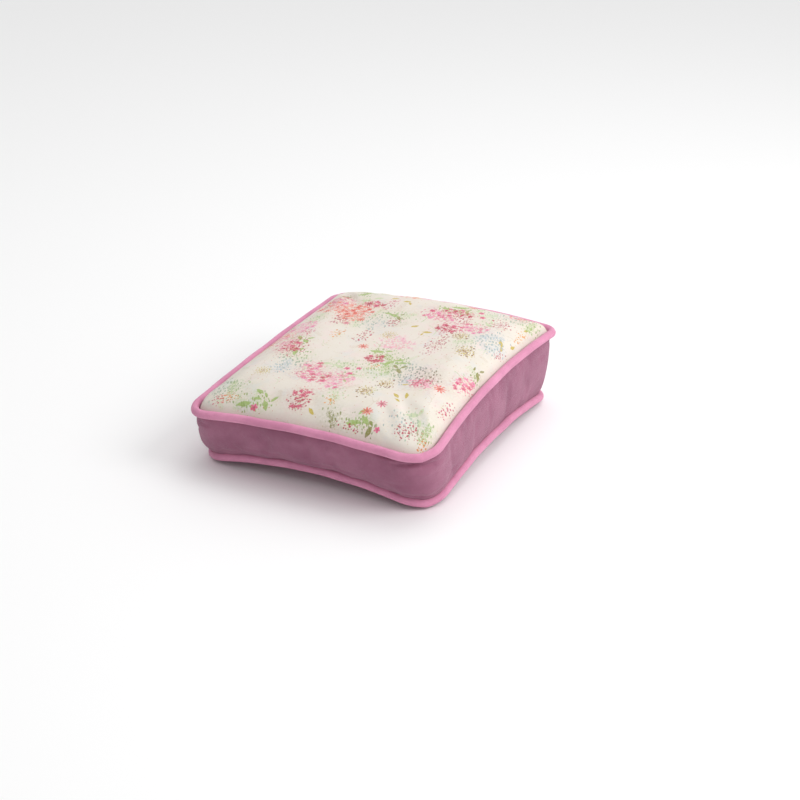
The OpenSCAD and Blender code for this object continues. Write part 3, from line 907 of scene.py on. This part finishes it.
class Surface(Net):
    """A material with one shader."""

    def __init__(self, name, rough=0.8):
        self.material = bpy.data.materials.new(name)
        self.material.use_nodes = True
        super().__init__(self.material.node_tree)
        self.shader = self.tree.nodes["Principled BSDF"]
        self.set(Roughness=rough)

    def set(self, **values):
        """Plugs values into the shader's sockets, with _ for the space in a socket's name."""
        for name, value in values.items():
            self.plug(self.shader.inputs[name.replace("_", " ")], value)

    def bump(self, height, distance, strength=1.0):
        self.set(Normal=self.add("Bump", 0, {
            "Distance": distance, "Strength": strength, "Height": height}))

    def sheen(self, weight, rough, tint=(1, 1, 1)):
        self.set(Sheen_Weight=weight, Sheen_Roughness=rough, Sheen_Tint=tint)


def woven(net, x, y, pitch):
    """Height of a plain weave in x and y in mm: warp and weft pass over each other in turn."""
    warp = net.math("SINE", x * (math.pi / pitch))
    weft = net.math("SINE", y * (math.pi / pitch))
    cross = (net.math("SINE", (x + y) * (math.pi / pitch))
             * net.math("SINE", (x - y) * (math.pi / pitch)))
    return abs(warp) * 0.5 + abs(weft) * 0.5 + cross * 0.3


def threads(net, x, y):
    """Slubs: uneven threads along x and along y, about 0.4 mm wide and several mm long."""
    across = net.noise(net.vector(x * 0.12, y * 2.2, 0.0), 1.0, 2)
    along = net.noise(net.vector(x * 2.2, y * 0.12, 5.0), 1.0, 2)
    return across * 0.5 + along * 0.5


def plain_cotton(name, colour, shade, bias=False, pitch=0.42):
    """Plain pink cotton: its weave and slubs, faint uneven dye and a soft bloom of fibre ends."""
    net = Surface(name, 0.86)
    x, y, _ = net.parts(net.attribute("flat"))
    if bias:
        x, y = (x + y) * 0.7071, (x - y) * 0.7071
    slub = threads(net, x, y)
    place = net.object_place()
    dye = net.noise(place, 28, 4, 0.6)
    fine = net.noise(place, 420, 2)
    tone = net.step(dye * 0.75 + slub * 0.12 + fine * 0.13, 0.32, 0.70)
    net.set(Base_Color=net.mix(tone, shade, colour))
    net.set(Roughness=slub * 0.14 + 0.76)
    net.sheen(0.25, 0.45, (1.0, 0.86, 0.93))
    net.bump(woven(net, x, y, pitch) * 0.6 + slub * 0.6 + net.noise(place, 120, 3) * 1.2, 0.00022, 0.9)
    return net.material


boxing_cloth = plain_cotton("pink_cotton", srgb(168, 107, 133), srgb(150, 91, 117))
piping_cloth = plain_cotton("piping_cotton", srgb(232, 154, 188), srgb(214, 136, 170),
                            bias=True, pitch=0.38)

# ---- Printed cotton ------------------------------------------------------------------------
# A generic water-colour meadow. Each spray is placed one by one in the flat cloth, in mm from the
# panel's middle; the flowers, leaves and berries in it are then scattered by the functions below.
INK = {
    "crimson": srgb(192, 48, 82), "rose": srgb(218, 92, 128), "pink": srgb(236, 142, 178),
    "pale_pink": srgb(240, 186, 200), "coral": srgb(228, 92, 78), "salmon": srgb(240, 150, 132),
    "magenta": srgb(226, 72, 132), "mustard": srgb(196, 172, 24), "olive": srgb(138, 136, 58),
    "leaf": srgb(158, 184, 98), "pale_leaf": srgb(200, 212, 170), "blue_grey": srgb(176, 190, 200),
    "orange": srgb(236, 158, 44), "brown": srgb(132, 92, 52), "maroon": srgb(150, 34, 50),
    "sand": srgb(214, 200, 180),
}
BLOSSOM, DAISY, SPIKY, LEAF, SPRIG, STEM = 1, 2, 3, 4, 5, 6
KINDS = ((SPRIG, STEM), (LEAF,), (BLOSSOM,), (BLOSSOM, DAISY, SPIKY))   # in each layer, lowest first
# x, y, half width, half height, berry colour
BERRIES = [
    (-105, -45, 22, 38, "crimson"), (-24, -170, 16, 26, "crimson"), (-58, -108, 12, 14, "rose"),
    (-36, 22, 12, 26, "crimson"), (70, 32, 16, 34, "crimson"), (62, 84, 18, 16, "crimson"),
    (122, 132, 18, 24, "crimson"), (-132, 120, 20, 24, "rose"), (-90, 58, 14, 22, "crimson"),
    (-14, 76, 16, 12, "crimson"), (-136, -192, 14, 10, "rose"), (130, -176, 20, 22, "crimson"),
    (70, 122, 22, 14, "crimson"), (10, -34, 12, 14, "crimson"), (100, -78, 16, 14, "rose"),
    (156, -110, 10, 26, "rose"), (-112, 5, 16, 12, "rose"), (58, -196, 22, 8, "crimson"),
    (-45, 128, 10, 24, "rose"), (156, 60, 8, 22, "crimson"), (-70, 18, 10, 16, "orange"),
    (16, -162, 10, 16, "orange"), (-118, -186, 16, 10, "orange"), (158, 128, 8, 22, "orange"),
    (22, -56, 8, 10, "orange"), (160, -188, 8, 14, "orange"), (60, -96, 16, 18, "brown"),
    (46, -128, 16, 16, "brown"), (116, 28, 18, 18, "brown"), (92, 70, 14, 14, "brown"),
]
# x, y, half width, half height, colours, how many, size in mm
BLOOMS = [
    (-130, 26, 20, 18, ("pink", "pale_pink"), 16, 4.0), (-146, -4, 16, 14, ("pink", "salmon"), 9, 4.0),
    (-128, 126, 20, 24, ("rose", "pink", "salmon"), 18, 4.2),
    (-92, 100, 34, 18, ("coral", "salmon"), 26, 4.0), (-84, 76, 18, 16, ("salmon", "coral"), 9, 4.0),
    (-30, 178, 26, 18, ("rose", "salmon"), 16, 4.2), (36, 118, 26, 14, ("pink", "rose"), 18, 4.4),
    (62, 86, 16, 12, ("crimson", "rose"), 9, 4.2), (96, 100, 22, 16, ("pink", "rose", "pale_pink"), 18, 4.2),
    (56, 138, 24, 10, ("crimson", "rose"), 8, 4.0), (-52, -84, 14, 12, ("rose", "pink"), 9, 4.6),
    (-34, -112, 24, 16, ("pink", "rose", "crimson"), 15, 4.4),
    (2, -112, 16, 24, ("pale_pink", "pink"), 12, 4.2), (-26, -168, 14, 20, ("rose", "crimson"), 9, 4.0),
    (12, -34, 14, 12, ("crimson", "rose"), 6, 5.0), (152, -42, 14, 20, ("pink", "rose"), 12, 4.2),
    (104, -76, 20, 14, ("pale_pink", "rose"), 10, 4.0), (-70, 124, 16, 8, ("crimson", "rose"), 5, 4.4),
    (-120, -34, 18, 20, ("pale_pink", "rose"), 12, 4.0), (66, 192, 26, 14, ("rose", "salmon"), 9, 4.2),
    (-110, -50, 14, 12, ("rose", "crimson"), 7, 3.8), (130, 186, 18, 18, ("salmon", "rose"), 8, 3.6),
    (16, 20, 26, 22, ("pale_pink",), 9, 3.6), (-158, -40, 10, 24, ("salmon", "coral"), 8, 4.0),
]
# Kind and colour, then the x, y, size and turn in degrees of each, in the order they are placed
SINGLE = [(*place, kind, ink) for kind, ink, *places in (
    (DAISY, "coral", (-142, 94, 8, 20), (-126, 84, 7, 50), (-64, 72, 7, 10), (-20, -4, 8, 35),
     (130, -76, 9, 70)),
    (DAISY, "rose", (80, -146, 8, 5)),
    (DAISY, "coral", (70, -167, 8, 40), (62, 176, 8, 15)),
    (DAISY, "rose", (-76, 52, 6, 0)),
    (DAISY, "crimson", (-76, 122, 7, 60)),
    (SPIKY, "mustard", (-4, 40, 13, 0), (116, 28, 18, 25), (90, 70, 14, 50), (60, -94, 13, 15),
     (46, -124, 15, 70), (-108, -120, 13, 35)),
    (BLOSSOM, "magenta", (-6, -76, 5, 0), (8, -70, 4.5, 30), (4, -88, 5, 50), (6, -132, 4, 10),
     (84, 152, 5, 0), (91, 139, 5, 20), (-80, -196, 6, 10), (94, -191, 5, 0), (142, -47, 4.5, 0)),
) for place in places]
# x, y, length, turn, colour
LEAVES = [
    (-22, 168, 7, 60, "mustard"), (-27, 143, 6, 20, "mustard"), (-20, 138, 5, 120, "mustard"),
    (18, 75, 6, 40, "mustard"), (41, 66, 7, 15, "mustard"), (37, 58, 4, 80, "mustard"),
    (145, 86, 8, 130, "mustard"), (151, 76, 6, 110, "mustard"), (84, -87, 5, 30, "mustard"),
    (87, -119, 7, 140, "mustard"), (99, -113, 7, 110, "mustard"), (94, -129, 5, 150, "mustard"),
    (-1, -186, 7, 140, "mustard"), (-48, 149, 6, 30, "mustard"), (-156, 112, 8, 120, "mustard"),
    (-144, 124, 6, 130, "mustard"), (160, 98, 6, 80, "mustard"), (156, 150, 5, 70, "mustard"),
    (-130, 150, 9, 10, "olive"), (-100, 158, 12, 40, "leaf"), (-92, 168, 9, 110, "pale_leaf"),
    (50, 156, 12, 20, "leaf"), (66, 140, 8, 100, "leaf"), (78, 160, 8, 60, "pale_leaf"),
    (34, 142, 8, 0, "leaf"), (5, -11, 11, 10, "leaf"), (16, -8, 8, 160, "pale_leaf"),
    (35, -38, 10, 60, "leaf"), (46, -26, 8, 30, "leaf"), (58, -54, 8, 130, "olive"), (0, -98, 8, 10, "leaf"),
    (-20, -74, 9, 150, "pale_leaf"), (-40, -72, 9, 20, "pale_leaf"), (-24, 96, 9, 160, "leaf"),
    (-14, 90, 7, 130, "olive"), (-112, -16, 9, 130, "leaf"), (-98, -24, 8, 140, "leaf"),
    (-94, -60, 8, 110, "leaf"), (-96, -194, 11, 20, "leaf"), (-76, -182, 10, 60, "leaf"),
    (-66, -190, 9, 120, "leaf"), (60, -188, 11, 20, "leaf"), (74, -182, 9, 140, "leaf"),
    (84, -196, 9, 80, "olive"), (108, 122, 9, 130, "pale_leaf"), (124, -146, 10, 20, "pale_leaf"),
    (155, -8, 8, 120, "olive"), (156, -16, 7, 70, "leaf"), (30, 136, 7, 30, "leaf"),
    (-154, 26, 8, 20, "leaf"), (-126, 44, 9, 60, "pale_leaf"), (-86, 132, 10, 10, "pale_leaf"),
    (52, -44, 7, 100, "leaf"),
]
# x, y, length, turn, colour
SPRIGS = [
    (156, 168, 18, 95, "leaf"), (154, -168, 18, 85, "leaf"), (-128, -166, 20, 115, "leaf"),
    (30, -190, 14, 130, "olive"), (40, -56, 20, 110, "leaf"), (24, -74, 16, 60, "pale_leaf"),
    (-130, 60, 18, 70, "pale_leaf"), (-64, 60, 16, 100, "pale_leaf"), (-88, -96, 20, 95, "blue_grey"),
    (-36, 66, 18, 100, "blue_grey"), (72, -46, 18, 130, "blue_grey"), (80, -72, 14, 90, "blue_grey"),
    (130, 88, 20, 40, "blue_grey"), (142, 62, 16, 100, "blue_grey"), (-146, -168, 18, 110, "blue_grey"),
    (120, -168, 18, 80, "blue_grey"), (120, 178, 20, 100, "blue_grey"), (-84, -66, 16, 120, "leaf"),
    (-6, 100, 16, 40, "pale_leaf"), (96, 150, 16, 60, "pale_leaf"), (14, -148, 18, 120, "pale_leaf"),
    (-10, -64, 14, 20, "pale_leaf"), (-50, 96, 16, 80, "pale_leaf"), (100, 54, 16, 30, "pale_leaf"),
    (-100, 176, 16, 20, "pale_leaf"), (28, -22, 14, 130, "leaf"), (104, -60, 16, 120, "brown"),
    (86, -58, 14, 60, "brown"),
]


def scatter_print():
    """The lists above as layers of (x, y, size, turn, kind, colour), none overlapping in a layer."""
    rng = np.random.default_rng(41)
    layers = [[], [], [], []]

    def add(layer, *stamp, spread=1.0):
        x, y, size = stamp[:3]
        if all(math.hypot(x - o[0], y - o[1]) > spread * (size + o[2]) for o in layers[layer]):
            layers[layer].append(stamp)
            return True
        return False

    for x, y, size, turn, kind, ink in SINGLE:
        add(3, x, y, size, turn, kind, ink)
    for x, y, wide, high, inks, count, size in BLOOMS:
        for _ in range(int(1.5 * count)):
            a, r = rng.uniform(0, 2 * math.pi), rng.random() ** 0.6
            stamp = (x + wide * r * math.cos(a), y + high * r * math.sin(a), size * rng.uniform(0.7, 1.25),
                     rng.uniform(0, 360), BLOSSOM, inks[rng.integers(len(inks))])
            add(3, *stamp) or add(2, *stamp)
    for x, y, size, turn, ink in sorted(LEAVES, key=lambda leaf: leaf[4] != "mustard"):
        add(1, x, y, size, turn, LEAF, ink, spread=0.6)
        for _ in range(0 if ink == "mustard" else 2):
            a = math.radians(turn + rng.uniform(-70, 70))
            r = size * rng.uniform(1.2, 1.9)
            add(1, x + r * math.cos(a), y + r * math.sin(a), size * rng.uniform(0.5, 0.8),
                math.degrees(a) + rng.uniform(-40, 40), LEAF, ink, spread=0.6)
    for x, y, size, turn, ink in SPRIGS:
        add(0, x, y, size, turn, SPRIG, ink)
    for x, y, wide, high, inks, count, size in BLOOMS:
        for _ in range(3):
            add(0, x + rng.uniform(-1, 1) * wide, y + rng.uniform(-1, 1) * high - 6, rng.uniform(12, 18),
                rng.uniform(60, 130), STEM, ("pale_leaf", "leaf", "sand")[rng.integers(3)], spread=0.8)
    for _ in range(260):
        add(0, rng.uniform(-165, 165), rng.uniform(-200, 200), rng.uniform(9, 16), rng.uniform(0, 360),
            (STEM, SPRIG)[rng.integers(2)], ("sand", "pale_leaf", "sand")[rng.integers(3)], spread=0.9)
    return layers


def print_layers(piece):
    """Keeps, for each layer, every face's place in its nearest stamp, and the stamp's kind and ink."""
    mesh = piece.data
    points = read(mesh.attributes["flat"].data, "vector")[:, :2]
    corner_vertex = np.empty(len(mesh.loops), int)
    mesh.loops.foreach_get("vertex_index", corner_vertex)
    corner = points[corner_vertex].reshape(-1, 4, 2)
    middle = corner.mean(1)
    for number, stamps in enumerate(scatter_print()):
        x, y, size, turn, kind, colour = zip(*stamps)
        place, size, turn, kind = np.transpose([x, y]), np.array(size), np.radians(turn), np.array(kind)
        ink = np.array([INK[name] for name in colour])
        far = np.linalg.norm(middle[:, None] - place[None], axis=-1) / size[None]
        nearest = far.argmin(1)
        c, s = np.cos(turn[nearest])[:, None], np.sin(turn[nearest])[:, None]
        d = (corner - place[nearest][:, None]) / size[nearest][:, None, None]
        own_kind = np.where(far.min(1) < 1.5, kind[nearest], 0)[:, None]
        local = np.stack([c * d[..., 0] + s * d[..., 1], -s * d[..., 0] + c * d[..., 1],
                          np.broadcast_to(own_kind, d.shape[:2])], -1)
        note(piece, f"stamp{number}", local, "CORNER")
        note(piece, f"ink{number}", np.repeat(ink[nearest][:, None], 4, 1), "CORNER")

    def cloud(name, blots):
        """Density and mean ink of soft blots, each (x, y, half width, half height, colour, weight)."""
        amount, ink = np.zeros(len(points)), np.zeros((len(points), 3))
        for x, y, wide, high, colour, weight in blots:
            g = weight * np.exp(-((points[:, 0] - x) / wide) ** 2 - ((points[:, 1] - y) / high) ** 2)
            amount, ink = amount + g, ink + g[:, None] * INK[colour]
        note(piece, name, np.minimum(amount, 1))
        note(piece, name + "_ink", ink / np.maximum(amount, 1e-6)[:, None])

    green = [(x, y, 1.3 * size, 1.3 * size, ink, 0.8) for x, y, size, _, ink in SPRIGS + LEAVES
             if ink != "mustard"]
    cloud("berry", [(x, y, 0.9 * w, 0.9 * h, ink, 1.0) for x, y, w, h, ink in BERRIES])
    cloud("stroke", [(x, y, 1.1 * w, 1.1 * h, inks[k % len(inks)], 0.5)
                     for x, y, w, h, inks, *_ in BLOOMS for k in range(2)])
    cloud("leafy", green)
    cloud("wash", [(x, y, 1.3 * w, 1.3 * h, inks[-1], 1.0) for x, y, w, h, inks, *_ in BLOOMS] + green)


def stamp_mask(net, number, wobble):
    """How strongly one layer's ink covers a point, and how far that is from the stamp's middle."""
    x, y, kind = net.parts(net.attribute(f"stamp{number}"))
    x, y = x + (wobble[0] - 0.5) * 0.5, y + (wobble[1] - 0.5) * 0.5
    r = net.math("SQRT", x * x + y * y)
    turn = net.math("ARCTAN2", y, x)

    def rays(count, power):
        return abs(net.math("COSINE", turn * (count / 2))) ** power

    def inside(edge, soft=0.08):
        return net.step(edge - r, -soft, soft)

    shapes = {}
    shapes[BLOSSOM] = inside(rays(5, 0.7) * 0.45 + 0.42)
    shapes[DAISY] = inside(rays(9, 1.6) * 0.72 + 0.26)
    spike = inside(rays(15, 2.5) * 0.8 + 0.12, 0.12)
    shapes[SPIKY] = spike * net.step(net.math("SINE", r * 21 + turn * 4), -0.7, 0.3)
    shapes[LEAF] = net.step((1 - x * x) * 0.36 - abs(y), -0.03, 0.03)
    # A sprig's leaflets: pairs that lean forward from a thin stalk
    stalk = net.step(abs(y + x * x * 0.12 - 0.06), 0.05, 0.02)
    lean = x * 4.5 - abs(y) * 3.2
    leaflet = net.step(abs(net.math("FRACT", lean) - 0.5), 0.3, 0.16)
    reach = net.step(abs(y), 0.36, 0.28) * net.step(abs(x), 0.95, 0.8)
    shapes[SPRIG] = net.math("MAXIMUM", stalk * net.step(abs(x), 1.0, 0.9), leaflet * reach)
    bend = y - x * x * 0.3 + 0.12
    fork = abs(abs(bend) - net.math("MAXIMUM", x, 0.0) * 0.45)
    shapes[STEM] = net.step(fork, 0.06, 0.025) * net.step(abs(x), 1.0, 0.8)
    masks = [shapes[which] * net.step(abs(kind - float(which)), 0.4, 0.1) for which in KINDS[number]]
    return sum(masks[1:], masks[0]), r


# field they fill, turn in degrees, length and width in mm, least size, colour of the darkest
DOTS = [
    ("leafy", 112, 8.5, 3.6, 0.20, srgb(96, 120, 50)),
    ("stroke", 58, 7.0, 3.2, 0.22, srgb(170, 40, 70)),
    ("stroke", 131, 5.6, 3.0, 0.18, srgb(240, 140, 120)),
    ("berry", 0, 5.4, 5.4, 0.19, srgb(150, 26, 52)),
    ("berry", 20, 3.9, 3.9, 0.17, srgb(120, 60, 40)),
]


def printed_cotton():
    net = Surface("floral_cotton", 0.84)
    flat = net.attribute("flat")
    x, y, _ = net.parts(flat)
    wobble = net.parts(net.noise(flat, 0.22, 3, 0.6, "Color"))
    slow = net.parts(net.noise(flat, 0.035, 4, 0.6, "Color"))
    blot = net.noise(flat, 0.30, 4, 0.65)
    colour = net.mix(net.step(slow[0], 0.42, 0.68) * 0.55, srgb(232, 224, 213), srgb(228, 219, 203))
    colour = net.mix(net.step(slow[1], 0.50, 0.70) * 0.35, colour, srgb(240, 214, 214))
    colour = net.mix(net.step(slow[2], 0.52, 0.70) * 0.35, colour, srgb(212, 218, 220))
    wash = net.attribute("wash", "Fac") * net.step(blot, 0.38, 0.66) * net.step(slow[2], 0.25, 0.6)
    colour = net.mix(wash * 0.5, colour, net.attribute("wash_ink"))
    for number, strength in ((0, 0.7), (1, 1.0), (2, 0.9)):
        mask, r = stamp_mask(net, number, wobble)
        tone = net.step(blot, 0.2, 0.75) * 0.35 + 0.65
        colour = net.mix(mask * tone * strength, colour, net.attribute(f"ink{number}"))
    # Berries are round dots, strokes and small leaves are leaning ovals; some are missing
    drift_x, drift_y = x + (wobble[0] - 0.5) * 2.0, y + (wobble[1] - 0.5) * 2.0
    for kind, turn, long, wide, least, depth in DOTS:
        c, d = math.cos(math.radians(turn)), math.sin(math.radians(turn))
        where = net.vector((drift_x * c + drift_y * d) * (1 / long),
                           (drift_y * c - drift_x * d) * (1 / wide), 0.0)
        distance, own = net.cells(where, 1.0)
        pick, size, shade = net.parts(own)
        there = net.step(net.attribute(kind, "Fac") * 0.8 + pick * 0.6, 0.76, 0.84)
        dot = net.step(size * 0.15 + least - distance, -0.03, 0.05) * there
        ink = net.mix(shade * 0.4, net.attribute(kind + "_ink"), depth)
        colour = net.mix(dot * (net.step(blot, 0.2, 0.7) * 0.35 + 0.6), colour, ink)
    mask, r = stamp_mask(net, 3, wobble)
    ink = net.mix(net.step(r, 0.35, 0.1) * 0.6, net.attribute("ink3"), srgb(140, 60, 40))
    colour = net.mix(mask * (net.step(blot, 0.2, 0.7) * 0.3 + 0.65), colour, ink)
    # Specks of every colour between the sprays
    distance, own = net.cells(flat, 0.12)
    pick, size, shade = net.parts(own)
    speck = net.step(size * 0.07 + 0.04 - distance, -0.02, 0.02) * net.step(pick, 0.55, 0.6)
    ink = net.mix(shade, srgb(200, 190, 120), srgb(205, 80, 100))
    colour = net.mix(speck * 0.7, colour, ink)
    slub = threads(net, x, y)
    colour = net.mix(net.step(slub, 0.62, 0.35) * 0.10, colour, srgb(190, 180, 172))
    net.set(Base_Color=colour)
    net.set(Roughness=slub * 0.12 + 0.76)
    net.sheen(0.12, 0.4)
    lumps = net.noise(net.object_place(), 110, 3) * 1.0
    net.bump(woven(net, x, y, 0.4) * 0.5 + slub * 1.2 + lumps, 0.00020, 0.9)
    return net.material


def zip_weave():
    """Tape: close herringbone twill."""
    net = Surface("zip_tape", 0.8)
    x, _, z = net.parts(net.object_place())
    x, z = x * 1000, z * 1000
    zigzag = net.math("PINGPONG", z, 1.6)
    rib = net.math("SINE", (x + zigzag) * 9.0) * 0.5 + 0.5
    fibre = net.noise(net.vector(x, z * 3, 0.0), 2.0, 3)
    net.set(Base_Color=net.mix(rib * 0.5 + fibre * 0.5, srgb(150, 84, 118), srgb(206, 132, 170)))
    net.bump(rib + fibre * 0.5, 0.0002)
    net.sheen(0.2, 0.4)
    return net.material


def nylon():
    net = Surface("zip_coil", 0.34)
    cloudy = net.noise(net.object_place(), 260, 2)
    net.set(Base_Color=net.mix(cloudy, srgb(206, 120, 164), srgb(232, 158, 196)))
    net.set(Roughness=cloudy * 0.2 + 0.24)
    net.bump(cloudy, 0.00005)
    net.set(Subsurface_Weight=0.1, Subsurface_Radius=(0.0006, 0.0003, 0.0004))
    return net.material


def nickel():
    """Plated metal, a little rubbed, with fine scratches along and across."""
    net = Surface("nickel", 0.25)
    net.set(Metallic=1.0)
    x, y, z = net.parts(net.object_place())
    worn = net.noise(net.object_place(), 300, 4, 0.6)
    scratch = net.noise(net.vector(x * 260, y * 3000, z * 5200), 1.0, 3, 0.7)
    net.set(Base_Color=net.mix(worn, (0.50, 0.49, 0.47), (0.72, 0.71, 0.69)))
    net.set(Roughness=worn * 0.22 + net.step(scratch, 0.5, 0.75) * 0.15 + 0.14)
    net.bump(worn + scratch * 0.6, 0.00004)
    return net.material


def open_foam():
    """Cut foam: pits of several sizes, with painted shade darkening them."""
    net = Surface("foam", 0.95)
    place = net.object_place()
    pit_depth_and_shade = net.step(net.add("TexVoronoi", "Distance", {"Vector": place, "Scale": 700}), 0.1, 0.5)
    lumps = net.noise(place, 90, 4)
    # Painted shade: the colour follows the bump, darker down in the pits and between the lumps.
    net.set(Base_Color=net.mix(pit_depth_and_shade * 0.7 + lumps * 0.3, srgb(206, 196, 150), srgb(240, 234, 206)))
    net.bump(pit_depth_and_shade + lumps, 0.0005)
    return net.material


def fibrefill():
    """Loose white fibres lying every way."""
    net = Surface("wadding", 0.95)
    place = net.object_place()
    bend = net.noise(place, 30, 3, 0.6, "Color")
    bx, by, bz = net.parts(bend)
    x, y, z = net.parts(place)
    fluff = net.noise(net.vector(x * 900 + bx * 40, y * 120 + by * 40, z * 400 + bz * 30), 1.0, 4, 0.7)
    cross = net.noise(net.vector(x * 120 + by * 40, y * 900 + bz * 40, z * 400), 1.0, 4, 0.7)
    net.set(Base_Color=net.mix(fluff * 0.5 + cross * 0.5, srgb(212, 212, 214), srgb(250, 250, 250)))
    net.bump(fluff + cross + net.noise(place, 45, 3) * 3.0, 0.0008)
    net.sheen(0.3, 0.5)
    return net.material


def cotton_cord():
    net = Surface("cord", 0.92)
    place = net.object_place()
    fibre = net.noise(place, 900, 3, 0.7)
    net.set(Base_Color=net.mix(fibre, srgb(206, 198, 184), srgb(242, 238, 230)))
    net.bump(fibre + net.noise(place, 260, 2), 0.0004)
    return net.material


print_layers(top_panel)
floral, metal, coil, tape, fill = printed_cotton(), nickel(), nylon(), zip_weave(), fibrefill()
rope, sponge = cotton_cord(), open_foam()
# piece, body it rides on, CAD solids it stands for, material slot, material, padded
PIECES = [
    (top_panel, "pad", ["top_panel"], "floral_cotton", floral, 0.8),
    (bottom_panel, "pad", ["bottom_panel"], "pink_cotton", boxing_cloth, 0.8),
    (boxing, "pad", ["front_boxing"], "pink_cotton", boxing_cloth, 0.8),
    (upper_strip, "pad", ["zip_boxing_upper"], "pink_cotton", boxing_cloth, 0.8),
    (lower_strip, "pad", ["zip_boxing_lower"], "pink_cotton", boxing_cloth, 0.8),
    (top_pipe, "pad", ["top_piping_cover"], "piping_cotton", piping_cloth, 0.9),
    (low_pipe, "pad", ["bottom_piping_cover"], "piping_cotton", piping_cloth, 0.9),
    (top_cord, "pad", ["top_piping_cord"], "cord", rope, 0.9),
    (low_cord, "pad", ["bottom_piping_cord"], "cord", rope, 0.9),
    (foam, "pad", ["foam_core"], "foam", sponge, 0.9),
    (top_fill, "pad", ["top_wadding"], "wadding", fill, 0.4),
    (low_fill, "pad", ["bottom_wadding"], "wadding", fill, 0.4),
    (side_fill, "pad", ["side_wadding"], "wadding", fill, 0.4),
    (upper_tape, "pad", ["zip_tape_upper"], "zip_tape", tape, None),
    (lower_tape, "pad", ["zip_tape_lower"], "zip_tape", tape, None),
    (upper_coil, "pad", ["zip_coil_upper"], "zip_coil", coil, None),
    (lower_coil, "pad", ["zip_coil_lower"], "zip_coil", coil, None),
    (top_stops, "pad", ["zip_top_stops"], "nickel", metal, None),
    (low_stop, "pad", ["zip_bottom_stop"], "nickel", metal, None),
    (tabs, "pad", ["zip_end_tabs"], "pink_cotton", boxing_cloth, None),
    (stitches, "pad", [], "pink_cotton", piping_cloth, None),
    (slider, "slider", ["zip_slider"], "nickel", metal, None),
    (pull, "pull", ["zip_pull"], "nickel", metal, None),
]
for piece, body, nodes, slot, material, fullness in PIECES:
    piece.data.materials.clear()
    piece.data.materials.append(material)
    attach(piece, body)
    if nodes:
        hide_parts(*nodes)


# ---- Camera, light and floor -------------------------------------------------------------
cam_data = bpy.data.cameras.new("camera")
cam_data.lens = 76.5
cam_data.sensor_width = 36
camera = bpy.data.objects.new("camera", cam_data)
bpy.context.scene.collection.objects.link(camera)
azimuth, elevation, distance = math.radians(26.5), math.radians(25.5), 2.32
target = Vector((0.0214, 0.0227, 0.040))
back = Vector((math.sin(azimuth) * math.cos(elevation), -math.cos(azimuth) * math.cos(elevation),
               math.sin(elevation)))
camera.location = target + back * distance
camera.rotation_mode = "QUATERNION"
camera.rotation_quaternion = (-back).to_track_quat("-Z", "Y")
bpy.context.scene.camera = camera

FLOOR = 40000
floor = make_mesh("floor", [(-FLOOR, -FLOOR, 0), (FLOOR, -FLOOR, 0), (FLOOR, FLOOR, 0), (-FLOOR, FLOOR, 0)],
                  [(0, 1, 2, 3)])
pale = Surface("floor", 0.9)
pale.set(Base_Color=(0.94, 0.94, 0.94))
floor.data.materials.append(pale.material)

# The sky is brighter behind and to the right, as from a window wall
world = bpy.data.worlds.new("studio")
bpy.context.scene.world = world
world.use_nodes = True
for node in list(world.node_tree.nodes):
    if node.type != "OUTPUT_WORLD":
        world.node_tree.nodes.remove(node)
sky = Net(world.node_tree)
towards = sky.add("VectorMath", "Value", {0: sky.add("TexCoord", "Generated"), 1: (0.50, 0.62, 0.60)},
                  operation="DOT_PRODUCT")
glow = sky.add("Background", 0, {
    "Color": (1, 1, 1), "Strength": sky.step(towards, -0.6, 0.9) * 0.64 + 0.37})
sky.plug(world.node_tree.nodes["World Output"].inputs["Surface"], glow)
bpy.context.scene.view_settings.view_transform = "Standard"


def area_light(name, place, aim, size, power):
    data = bpy.data.lights.new(name, "AREA")
    data.size, data.energy = size, power
    lamp = bpy.data.objects.new(name, data)
    lamp.location = place
    lamp.rotation_mode = "QUATERNION"
    lamp.rotation_quaternion = (Vector(aim) - Vector(place)).to_track_quat("-Z", "Y")
    bpy.context.scene.collection.objects.link(lamp)


area_light("key", (1.7, 0.1, 1.5), (0, 0, 0.05), 1.1, 17)
area_light("top", (0.1, 0.9, 2.2), (0, 0, 0.05), 1.4, 8)
